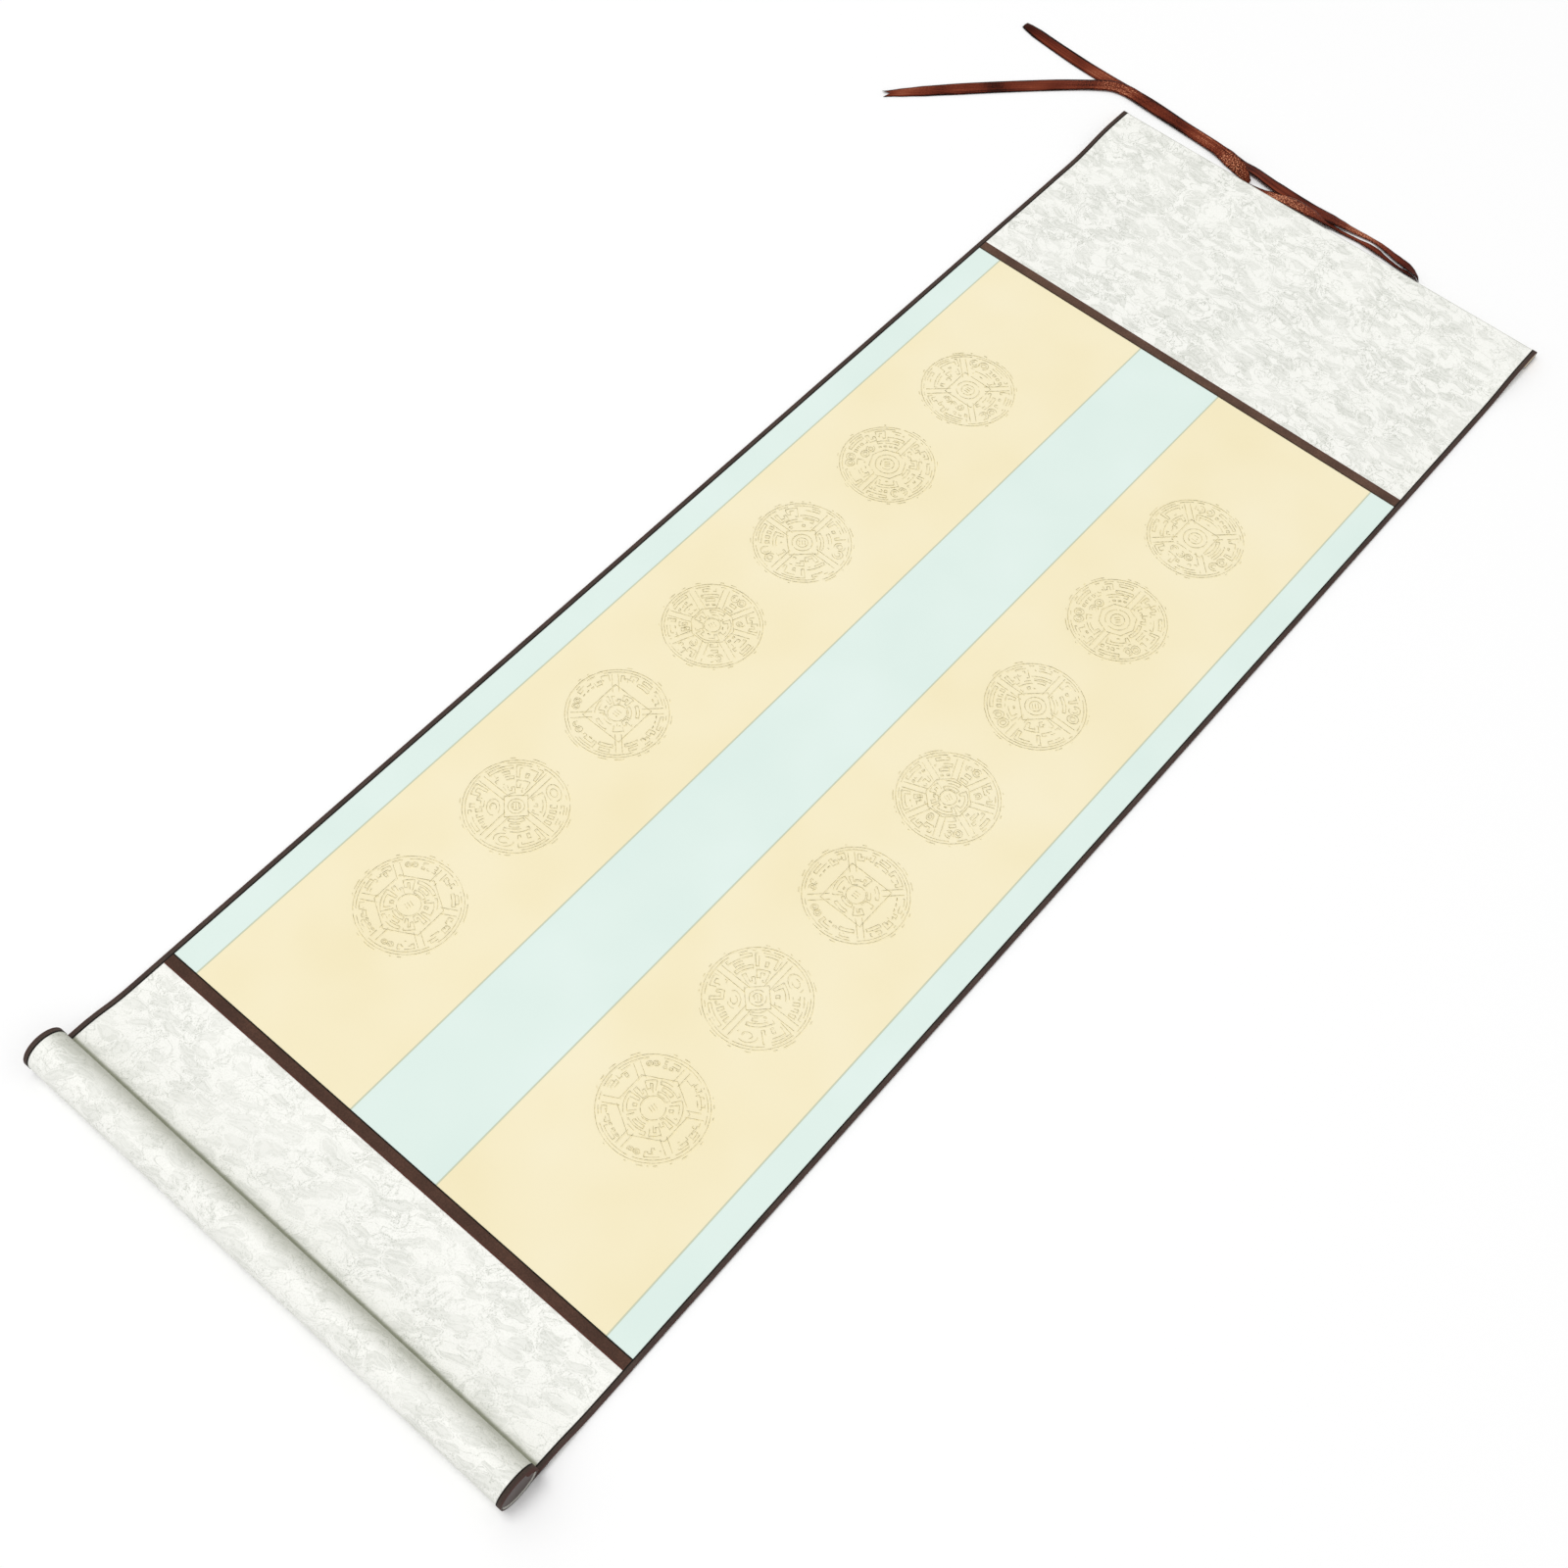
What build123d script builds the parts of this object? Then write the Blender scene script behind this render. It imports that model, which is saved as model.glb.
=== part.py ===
from build123d import *
import math
import os

# A hanging scroll of blank couplet paper, lying face up as it would on a table.
# X runs across it, Y up its length towards the hanging ribbon, Z off the table.
# The origin is on the table, at the middle of the scroll without its ribbon. All sizes in mm.

# The mounted sheet
sheet_width = 300.0
panel_length = 633.0
bottom_separator_width = 6.5
top_separator_width = 6.5
edging_width = 3.0
side_border_width = 15.5
centre_border_width = 55.0
top_brocade_length = 149.4
separator_to_roller = 66.0

# Thickness of each glued layer
backing_thickness = 0.5
face_thickness = 0.25
strip_thickness = 0.2
print_thickness = 0.06

# The roller at the foot, inside the wrapped end of the sheet
roller_diameter = 20.0
roller_clearance = 0.05
roller_end_recess = 0.5
roller_end_chamfer = 0.8
crease_height = 3.0
foot_flap_length = 9.0
foot_slope_length = 30.0

# The stave at the head, inside the folded hem
stave_width = 12.0
stave_thickness = 3.6
stave_clearance = 0.05
stave_end_recess = 0.5
stave_back_fillet = 0.8
head_slope_length = 50.0

# The loose end of the right edging, which stands out past the roll
tab_reach = 1.3
tab_start_angle = 8.0
tab_sweep_angle = 58.0

# The staples that hold the ribbon to the head, of square wire
staple_crown = 7.0
staple_wire_width = 0.6
staple_leg_length = 5.5
staple_bend_radius = 0.35
staple_hole_clearance = 0.05
staple_crown_clearance = 0.05
left_staple_x = -56.0
right_staple_x = 58.5

# The hanging ribbon
ribbon_width = 10.0
ribbon_thickness = 0.35
ribbon_seat_clearance = 0.05

# The roundels printed on the writing papers
last_roundel_above_bottom = 91.8
first_roundel_below_top = 94.8
roundel_left_of_middle = 3.6
roundel_radius = 26.2
ring_side_count = 40
ring_line_width = 1.0
bar_line_width = 0.8
bar_pair_spacing = 2.6

# Reach of the inner frame to its sides, number of sides, number of double bars, first bar's angle
roundel_designs = [
    (9.4, 4, 4, 45.0),
    (10.2, 4, 2, 90.0),
    (8.0, 4, 4, 0.0),
    (11.0, 8, 8, 22.5),
    (12.5, 4, 4, 45.0),
    (6.0, 4, 4, 0.0),
    (15.0, 6, 6, 30.0),
]

# Levels of the layers, counted from the underside of the backing
backing_level = backing_thickness
face_level = backing_level + face_thickness
strip_level = face_level + strip_thickness

# Places along the scroll, from the origin at the middle of its length
roll_inner_radius = roller_diameter / 2 + roller_clearance
roll_outer_radius = roll_inner_radius + strip_level
staple_stand_off = (
    ribbon_seat_clearance + ribbon_thickness + staple_crown_clearance + staple_wire_width
)
head_above_roller = (
    separator_to_roller
    + bottom_separator_width
    + panel_length
    + top_separator_width
    + top_brocade_length
)
overall_length = roll_outer_radius + head_above_roller + staple_stand_off
roller_y = roll_outer_radius - overall_length / 2
roller_z = roll_outer_radius
bottom_separator_y = roller_y + separator_to_roller
panel_bottom_y = bottom_separator_y + bottom_separator_width
panel_top_y = panel_bottom_y + panel_length
head_y = panel_top_y + top_separator_width + top_brocade_length
bottom_joint_y = bottom_separator_y + bottom_separator_width / 2
top_joint_y = panel_top_y + top_separator_width / 2

# Places across the scroll, and the step from roundel to roundel
half_width = sheet_width / 2
inner_half_width = half_width - edging_width
paper_inner_x = centre_border_width / 2
paper_outer_x = inner_half_width - side_border_width
paper_middle_x = (paper_outer_x + paper_inner_x) / 2
roundel_span = panel_length - first_roundel_below_top - last_roundel_above_bottom
roundel_pitch = roundel_span / (len(roundel_designs) - 1)

# The foot: the sheet leaves the roll at the crease height and comes down in two equal arcs
crease_y = roller_y + math.sqrt(
    (roll_inner_radius + face_level) ** 2 - (roller_z - crease_height - face_level) ** 2
)
flap_end_y = crease_y + foot_flap_length
foot_slope_end_y = flap_end_y + foot_slope_length
foot_angle = 2 * math.atan(crease_height / foot_slope_length)
foot_radius = foot_slope_length / (2 * math.sin(foot_angle))

# The head: the sheet climbs in two equal arcs onto the stave and folds round its nose
stave_top_z = strip_level + stave_thickness + 2 * stave_clearance
stave_middle_z = strip_level + stave_clearance + stave_thickness / 2
nose_radius = stave_thickness / 2 + stave_clearance
nose_y = head_y - face_level - nose_radius
stave_back_y = nose_y + nose_radius - stave_width
head_slope_start_y = stave_back_y - head_slope_length
head_angle = 2 * math.atan(stave_top_z / head_slope_length)
head_radius = head_slope_length / (2 * math.sin(head_angle))


# The section of everything inside a layer's outer surface: the roll, the flap glued under the
# sheet, the sheet on its slopes and flat, and the hem round the stave
def outline(level):
    foot_turn = math.degrees(foot_angle)
    head_turn = math.degrees(head_angle)
    with BuildSketch() as section:
        with Locations((roller_y, roller_z)):
            Circle(roll_inner_radius + level)
        with BuildLine():
            Line((roller_y, crease_height + level), (flap_end_y, crease_height + level))
            CenterArc((flap_end_y, crease_height - foot_radius), foot_radius + level, 90, -foot_turn)
            CenterArc((foot_slope_end_y, foot_radius), foot_radius - level, 270 - foot_turn, foot_turn)
            Line((foot_slope_end_y, level), (head_slope_start_y, level))
            CenterArc((head_slope_start_y, head_radius), head_radius - level, 270, head_turn)
            CenterArc(
                (stave_back_y, stave_top_z - head_radius), head_radius + level, 90 + head_turn, -head_turn
            )
            Line((stave_back_y, stave_top_z + level), (nose_y, stave_top_z + level))
            CenterArc((nose_y, stave_middle_z), nose_radius + level, 90, -180)
            Line((nose_y, strip_level - level), (stave_back_y, strip_level - level))
            Line((stave_back_y, strip_level - level), (stave_back_y, stave_top_z))
            CenterArc((stave_back_y, stave_top_z - head_radius), head_radius, 90, head_turn)
            CenterArc((head_slope_start_y, head_radius), head_radius, 270 + head_turn, -head_turn)
            Line((head_slope_start_y, 0), (foot_slope_end_y, 0))
            CenterArc((foot_slope_end_y, foot_radius), foot_radius, 270, -foot_turn)
            CenterArc((flap_end_y, crease_height - foot_radius), foot_radius, 90 - foot_turn, foot_turn)
            Line((flap_end_y, crease_height), (flap_end_y, crease_height - level))
            Line((flap_end_y, crease_height - level), (roller_y, crease_height - level))
            Line((roller_y, crease_height - level), (roller_y, crease_height + level))
        make_face()
    return section.sketch_local


backing_outline = outline(backing_level)
face_outline = outline(face_level)
strip_outline = outline(strip_level)

# The legs of both staples, seen along the scroll
leg_places = [
    (staple_x + side * (staple_crown - staple_wire_width) / 2, stave_middle_z)
    for staple_x in (left_staple_x, right_staple_x)
    for side in (-1, 1)
]
staple_hole_width = staple_wire_width + 2 * staple_hole_clearance
crown_y = head_y + staple_stand_off - staple_wire_width / 2
with BuildSketch(Plane.XZ.offset(-crown_y)) as leg_holes:
    with Locations(*leg_places):
        Rectangle(staple_hole_width, staple_hole_width)

# The backing paper: one sheet, glued to itself round the roller and folded round the stave
with BuildPart() as backing_sheet:
    with BuildSketch(Plane.YZ):
        add(backing_outline)
        with Locations((roller_y, roller_z)):
            Circle(roll_inner_radius, mode=Mode.SUBTRACT)
        with Locations((nose_y, stave_middle_z)):
            Circle(nose_radius, mode=Mode.SUBTRACT)
        with Locations(((stave_back_y + nose_y) / 2, stave_middle_z)):
            Rectangle(nose_y - stave_back_y, 2 * nose_radius, mode=Mode.SUBTRACT)
    extrude(amount=half_width, both=True)
    extrude(leg_holes.sketch, amount=staple_leg_length, mode=Mode.SUBTRACT)

# The two brocade panels, which run under the separators to the ends of the writing panel
with BuildPart() as bottom_brocade_panel:
    with BuildSketch(Plane.YZ):
        add(face_outline)
        add(backing_outline, mode=Mode.SUBTRACT)
        with Locations((bottom_joint_y, 0)):
            Rectangle(
                overall_length, overall_length, align=(Align.MAX, Align.CENTER), mode=Mode.INTERSECT
            )
    extrude(amount=half_width, both=True)

with BuildPart() as top_brocade_panel:
    with BuildSketch(Plane.YZ):
        add(face_outline)
        add(backing_outline, mode=Mode.SUBTRACT)
        with Locations((top_joint_y, 0)):
            Rectangle(
                overall_length, overall_length, align=(Align.MIN, Align.CENTER), mode=Mode.INTERSECT
            )
    extrude(amount=half_width, both=True)
    extrude(leg_holes.sketch, amount=staple_leg_length, mode=Mode.SUBTRACT)

# The narrow edging strips, which follow the sheet round the roll and over the head
with BuildPart() as left_edging:
    with BuildSketch(Plane.YZ.offset(-half_width)):
        add(strip_outline)
        add(face_outline, mode=Mode.SUBTRACT)
    extrude(amount=edging_width)

with BuildPart() as right_edging:
    with BuildSketch(Plane.YZ.offset(inner_half_width)):
        add(strip_outline)
        add(face_outline, mode=Mode.SUBTRACT)
    extrude(amount=edging_width)
    with BuildSketch(Plane.YZ.offset(half_width)):
        with BuildLine():
            inner_edge = CenterArc(
                (roller_y, roller_z), roll_inner_radius + face_level, tab_start_angle, tab_sweep_angle
            )
            outer_edge = CenterArc((roller_y, roller_z), roll_outer_radius, tab_start_angle, tab_sweep_angle)
            Line(inner_edge @ 0, outer_edge @ 0)
            Line(inner_edge @ 1, outer_edge @ 1)
        make_face()
    extrude(amount=tab_reach)

# The separators, pasted over the joints between panel and brocade
with BuildPart() as bottom_separator:
    with BuildSketch(Plane.XY.offset(face_level)):
        with Locations((0, bottom_joint_y)):
            Rectangle(2 * inner_half_width, bottom_separator_width)
    extrude(amount=strip_thickness)

with BuildPart() as top_separator:
    with BuildSketch(Plane.XY.offset(face_level)):
        with Locations((0, top_joint_y)):
            Rectangle(2 * inner_half_width, top_separator_width)
    extrude(amount=strip_thickness)

# The panel between them: five strips side by side, from one edge of the sheet to the other
strips = {
    "left_border": (-half_width, -paper_outer_x),
    "left_writing_paper": (-paper_outer_x, -paper_inner_x),
    "centre_border": (-paper_inner_x, paper_inner_x),
    "right_writing_paper": (paper_inner_x, paper_outer_x),
    "right_border": (paper_outer_x, half_width),
}
panel_middle_y = (bottom_joint_y + top_joint_y) / 2
panel_strips = {}
for name, (left_x, right_x) in strips.items():
    with BuildPart() as panel_strip:
        with BuildSketch(Plane.XY.offset(backing_level)):
            with Locations(((left_x + right_x) / 2, panel_middle_y)):
                Rectangle(right_x - left_x, top_joint_y - bottom_joint_y)
        extrude(amount=face_thickness)
    panel_strips[name] = panel_strip

# The printed roundels: a ring, a straight-sided frame and double bars, one design to each row.
# The ring has short straight sides too, which look round at its size and keep its faces few.
column_prints = {}
for name, column_x in (
    ("left_roundels", -paper_middle_x - roundel_left_of_middle),
    ("right_roundels", paper_middle_x - roundel_left_of_middle),
):
    with BuildPart() as column_print:
        for row in range(len(roundel_designs)):
            frame_reach, side_count, bar_count, first_angle = roundel_designs[row]
            row_y = panel_top_y - first_roundel_below_top - row * roundel_pitch
            bar_length = roundel_radius - frame_reach
            bar_middle = (roundel_radius + frame_reach) / 2
            frame_turn = first_angle - 180 / side_count
            roundel_plane = Plane(origin=(column_x, row_y, face_level))
            with BuildSketch(roundel_plane):
                for reach, sides, turn in (
                    (roundel_radius, ring_side_count, 0),
                    (frame_reach, side_count, frame_turn),
                ):
                    RegularPolygon(reach + ring_line_width / 2, sides, major_radius=False, rotation=turn)
                    RegularPolygon(
                        reach - ring_line_width / 2,
                        sides,
                        major_radius=False,
                        rotation=turn,
                        mode=Mode.SUBTRACT,
                    )
                with PolarLocations(bar_middle, bar_count, first_angle):
                    with GridLocations(bar_length, bar_pair_spacing, 1, 2):
                        Rectangle(bar_length, bar_line_width)
            extrude(amount=print_thickness)
    column_prints[name] = column_print

# The roller, a plain turned rod
with BuildPart() as roller_rod:
    with BuildSketch(Plane.YZ):
        with Locations((roller_y, roller_z)):
            Circle(roller_diameter / 2)
    extrude(amount=half_width - roller_end_recess, both=True)
    chamfer(roller_rod.edges().filter_by(GeomType.CIRCLE), length=roller_end_chamfer)

# The stave, a flat lath with a rounded nose towards the head of the scroll
with BuildPart() as top_stave:
    with BuildSketch(Plane.YZ) as stave_section:
        with Locations((nose_y, stave_middle_z)):
            Circle(stave_thickness / 2)
        with Locations((nose_y, stave_middle_z)):
            Rectangle(
                nose_y - stave_back_y - stave_clearance, stave_thickness, align=(Align.MAX, Align.CENTER)
            )
        fillet(stave_section.vertices().group_by(Axis.X)[0], radius=stave_back_fillet)
    extrude(amount=half_width - stave_end_recess, both=True)
    extrude(leg_holes.sketch, amount=staple_leg_length + staple_stand_off, mode=Mode.SUBTRACT)

# The staples, bent from wire, with their crowns across the ribbon
staples = {}
for name, staple_x in (("left_staple", left_staple_x), ("right_staple", right_staple_x)):
    half_crown = (staple_crown - staple_wire_width) / 2
    tip_y = crown_y - staple_leg_length
    with BuildPart() as staple:
        with BuildLine():
            FilletPolyline(
                (staple_x - half_crown, tip_y, stave_middle_z),
                (staple_x - half_crown, crown_y, stave_middle_z),
                (staple_x + half_crown, crown_y, stave_middle_z),
                (staple_x + half_crown, tip_y, stave_middle_z),
                radius=staple_bend_radius,
            )
        with BuildSketch(Plane((staple_x - half_crown, tip_y, stave_middle_z), z_dir=(0, 1, 0))):
            Rectangle(staple_wire_width, staple_wire_width)
        sweep()
    staples[name] = staple

# The ribbon lies as three strands, each given as a place across the scroll and a distance out
# from the head: one free end, folded back at the right staple, a stretch on edge between the
# staples, and the other free end, which lies on the first and leaves it beside the head
first_end = [
    (63.3, 5.1),
    (52.0, 6.6),
    (36.0, 11.2),
    (16.0, 14.2),
    (-8.0, 12.0),
    (-32.0, 12.3),
    (-60.0, 15.6),
    (-114.0, 18.4),
    (-146.0, 20.8),
    (-172.0, 20.0),
    (-210.0, 21.4),
    (-248.0, 25.8),
]
stretch_on_edge = [
    (63.3, ribbon_thickness / 2),
    (49.0, ribbon_thickness / 2),
    (36.0, 4.8),
    (20.0, 6.0),
    (0.0, 3.8),
    (-24.0, 2.9),
    (-47.0, ribbon_thickness / 2),
    (-62.0, ribbon_thickness / 2),
]
second_end = [
    (-61.5, 5.1),
    (-71.0, 7.6),
    (-84.0, 15.0),
    (-106.0, 16.8),
    (-142.0, 17.6),
    (-168.0, 19.2),
    (-183.0, 8.6),
    (-200.0, -7.6),
    (-228.0, -37.6),
    (-256.0, -69.0),
    (-272.0, -88.4),
]


# One radius for each corner, as large as its two runs allow
def corner_radii(route):
    radii = []
    for before, corner, after in zip(route, route[1:], route[2:]):
        arriving = Vector(*corner) - Vector(*before)
        leaving = Vector(*after) - Vector(*corner)
        half_turn = math.radians(arriving.get_angle(leaving)) / 2
        radii.append(0.45 * min(arriving.length, leaving.length) / math.tan(half_turn))
    return radii


with BuildPart() as hanging_ribbon:
    for lift, route, line_width, height in (
        (0, first_end, ribbon_width, ribbon_thickness),
        (0, stretch_on_edge, ribbon_thickness, ribbon_width),
        (ribbon_thickness, second_end, ribbon_width, ribbon_thickness),
    ):
        places = [(x, head_y + ribbon_seat_clearance + out) for x, out in route]
        with BuildSketch(Plane.XY.offset(lift)):
            with BuildLine() as strand_line:
                FilletPolyline(*places, radius=corner_radii(places))
            trace(strand_line.edges(), line_width=line_width)
        extrude(amount=height)
        print("ribbon corner radii:", [round(radius) for radius in corner_radii(places)])
    extrude(leg_holes.sketch, amount=staple_leg_length, mode=Mode.SUBTRACT)

# Each piece is named and written out
os.makedirs("parts", exist_ok=True)
pieces = {
    "backing_sheet": backing_sheet,
    "bottom_brocade_panel": bottom_brocade_panel,
    "top_brocade_panel": top_brocade_panel,
    "left_edging": left_edging,
    "right_edging": right_edging,
    "bottom_separator": bottom_separator,
    "top_separator": top_separator,
    "roller_rod": roller_rod,
    "top_stave": top_stave,
    "hanging_ribbon": hanging_ribbon,
}
pieces.update(panel_strips)
pieces.update(column_prints)
pieces.update(staples)
for name, piece in pieces.items():
    piece.part.label = name
    export_step(piece.part, f"parts/{name}.step")
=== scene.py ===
import math
import random
import bmesh
import bpy
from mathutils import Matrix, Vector


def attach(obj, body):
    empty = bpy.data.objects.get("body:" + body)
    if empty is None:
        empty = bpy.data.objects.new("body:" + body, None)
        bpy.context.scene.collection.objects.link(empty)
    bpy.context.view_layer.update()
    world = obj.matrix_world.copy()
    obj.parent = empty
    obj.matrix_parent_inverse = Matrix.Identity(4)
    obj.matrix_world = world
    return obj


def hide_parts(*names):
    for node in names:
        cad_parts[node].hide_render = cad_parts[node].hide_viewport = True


# A hanging scroll of blank couplet paper, lying face up. Lengths are in millimetres until a mesh is
# made, and each mesh is in metres, in the frame's own places.
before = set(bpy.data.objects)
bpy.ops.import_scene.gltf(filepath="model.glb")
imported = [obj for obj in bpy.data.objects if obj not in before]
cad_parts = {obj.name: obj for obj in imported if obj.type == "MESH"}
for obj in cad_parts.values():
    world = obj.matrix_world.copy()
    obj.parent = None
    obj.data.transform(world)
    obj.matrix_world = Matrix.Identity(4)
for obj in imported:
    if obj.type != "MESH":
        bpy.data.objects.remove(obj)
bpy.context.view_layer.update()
scene = bpy.context.scene
print("frame loaded")


# sRGB hex to the linear colour that the shaders take
def linear(hexColour):
    channels = [int(hexColour[i:i + 2], 16) / 255 for i in (1, 3, 5)]
    return [c / 12.92 if c < 0.04045 else ((c + 0.055) / 1.055) ** 2.4 for c in channels] + [1.0]


# Nodes that come up often, each with the settings that go with it
nodeKinds = {
    "times": ("ShaderNodeMath", {"operation": "MULTIPLY"}),
    "minus": ("ShaderNodeMath", {"operation": "SUBTRACT"}),
    "absolute": ("ShaderNodeMath", {"operation": "ABSOLUTE"}),
    "larger": ("ShaderNodeMath", {"operation": "MAXIMUM"}),
    "folded": ("ShaderNodeMath", {"operation": "PINGPONG"}),
    "above": ("ShaderNodeMath", {"operation": "GREATER_THAN"}),
    "below": ("ShaderNodeMath", {"operation": "LESS_THAN"}),
    "vectorPlus": ("ShaderNodeVectorMath", {"operation": "ADD"}),
    "vectorMinus": ("ShaderNodeVectorMath", {"operation": "SUBTRACT"}),
    "vectorScale": ("ShaderNodeVectorMath", {"operation": "SCALE"}),
    "range": ("ShaderNodeMapRange", {}),
    "smooth": ("ShaderNodeMapRange", {"interpolation_type": "SMOOTHSTEP"}),
    "blend": ("ShaderNodeMix", {"data_type": "RGBA"}),
    "ramp": ("ShaderNodeValToRGB", {}),
    "noise": ("ShaderNodeTexNoise", {}),
    "mapping": ("ShaderNodeMapping", {}),
    "split": ("ShaderNodeSeparateXYZ", {}),
    "spot": ("ShaderNodeTexCoord", {}),
    "bump": ("ShaderNodeBump", {}),
}


# Each input takes a value, a socket, or a node, which gives its first live output
def feed(tree, node, inputs):
    for socket, value in inputs.items():
        if isinstance(value, bpy.types.Node):
            value = next(output for output in value.outputs if output.enabled)
        if isinstance(value, bpy.types.NodeSocket):
            tree.links.new(value, node.inputs[socket])
        else:
            node.inputs[socket].default_value = value


# One node with its settings and links
def addNode(tree, kind, inputs=None, **settings):
    kind, usual = nodeKinds.get(kind, (kind, {}))
    node = tree.nodes.new(kind)
    for name, value in {**usual, **settings}.items():
        setattr(node, name, value)
    feed(tree, node, inputs or {})
    return node


# A new material with its shader set, and the tree to add to
def startMaterial(name, shaderValues):
    material = bpy.data.materials.new(name)
    material.use_nodes = True
    tree = material.node_tree
    shader = tree.nodes["Principled BSDF"]
    feed(tree, shader, shaderValues)
    return material, tree, shader


# The colours of a ramp, from its first stop to its last
def setStops(ramp, stops):
    elements = ramp.color_ramp.elements
    for element, (place, tone) in zip(elements, (stops[0], stops[-1])):
        element.position = place
        element.color = linear(tone)
    for place, tone in stops[1:-1]:
        elements.new(place).color = linear(tone)


# A fine relief of fibres or threads, 0.1 mm deep at full strength
def addGrain(tree, shader, spot, size, strength):
    grain = addNode(tree, "noise", {0: spot, 2: 1000 / size, 3: 3.0})
    feed(tree, shader, {"Normal": addNode(tree, "bump", {0: strength, 1: 0.0001, 3: grain})})
    return grain


# An object at the origin, riding on the one body
def addPiece(name, mesh, material, node):
    piece = bpy.data.objects.new(name, mesh)
    scene.collection.objects.link(piece)
    if material is not None:
        mesh.materials.clear()
        mesh.materials.append(material)
    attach(piece, "root")
    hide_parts(node)
    return piece


# Camera, at the photograph's angle
view = {
    "place": (0.32267657, -0.52833574, 0.89896883),
    "turn": (30.9515, -2.8176, 40.1723),
    "lens": 47.51,
    "sensor": 36.0,
}
cameraData = bpy.data.cameras.new("camera")
cameraData.lens = view["lens"]
cameraData.sensor_width = view["sensor"]
cameraData.clip_start = 0.01
camera = bpy.data.objects.new("camera", cameraData)
camera.location = view["place"]
camera.rotation_euler = [math.radians(angle) for angle in view["turn"]]
scene.collection.objects.link(camera)
scene.camera = camera
print("camera placed")

# The hanging ribbon's own sizes, and the steps across it
ribbon = {
    "width": 10.0,
    "thickness": 0.3,
    "headY": 435.725,
    "across": 8,
    "floorGap": 0.06,
    "lastRun": 6.0,
    "notchStart": 0.45,
}

# Polyester satin ribbon, woven with long floats: a soft painted sheen in lines along its length
satin = {
    # The stops run from painted shade through the ribbon's red to a painted highlight
    "stops": [(0.16, "#190500"), (0.25, "#5A2011"), (0.42, "#863F28"), (0.6, "#E8A07A")],
    "sheenTint": "#863F28",
    "streakWidth": 0.6,
    "streaksPerMetre": 12.0,
    "speckSize": 0.9,
    "patchLength": 30.0,
    "paintedGlints": (0.4, 0.64, -0.06, 0.4),  # where the specks start and end, and what they add there
    "selvedge": (3.4, 4.9),
    "selvedgeShadeTones": (0.02, -0.14),
}
satinRibbon, tree, shader = startMaterial(
    "wovenSatinRibbon",
    {
        "Roughness": 0.45,
        "Sheen Weight": 0.02,
        "Sheen Roughness": 0.4,
        "Sheen Tint": linear(satin["sheenTint"]),
        "Anisotropic": 0.5,
        "Specular IOR Level": 0.06,
    },
)
flat = addNode(tree, "ShaderNodeUVMap", uv_map="weave")
streakScale = (satin["streaksPerMetre"], 1000 / satin["streakWidth"], 1.0)
streaks = addNode(tree, "noise", {0: addNode(tree, "mapping", {0: flat, 3: streakScale}), 2: 1.0, 3: 2.0})
patches = addNode(tree, "noise", {0: flat, 2: 1000 / satin["patchLength"], 3: 1.0})
specks = addNode(tree, "noise", {0: flat, 2: 1000 / satin["speckSize"], 3: 2.0})
# Each point's share of painted highlight, set along the strands
paintedHighlight = addNode(tree, "ShaderNodeAttribute", attribute_name="paintedHighlight").outputs["Fac"]
# Painted glints: specks pushed lighter or darker, as far as each point's painted highlight share allows
start, full, dull, bright = satin["paintedGlints"]
paintedGlints = addNode(tree, "range", {0: specks, 1: start, 2: full, 3: dull, 4: bright})
paintedGlints = addNode(tree, "times", {0: paintedGlints, 1: paintedHighlight})
tone = addNode(tree, "ShaderNodeMath", {0: streaks, 1: patches, 2: paintedGlints}, operation="MULTIPLY_ADD")
across = addNode(tree, "split", {0: flat}).outputs[1]
across = addNode(tree, "minus", {0: across, 1: ribbon["width"] / 2000})
across = addNode(tree, "absolute", {0: across})
# Painted shade along both selvedges, and a touch of painted highlight in the middle
inner, outer = (place / 1000 for place in satin["selvedge"])
middleTone, edgeTone = satin["selvedgeShadeTones"]
selvedge = addNode(tree, "range", {0: across, 1: inner, 2: outer, 3: middleTone, 4: edgeTone})
tone = addNode(tree, "ShaderNodeMath", {0: tone, 1: selvedge}, operation="ADD")
ramp = addNode(tree, "ramp", {0: tone})
setStops(ramp, satin["stops"])
relief = addNode(tree, "bump", {0: 0.25, 1: 0.0001, 3: streaks})
feed(tree, shader, {"Base Color": ramp, "Normal": relief})
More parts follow.
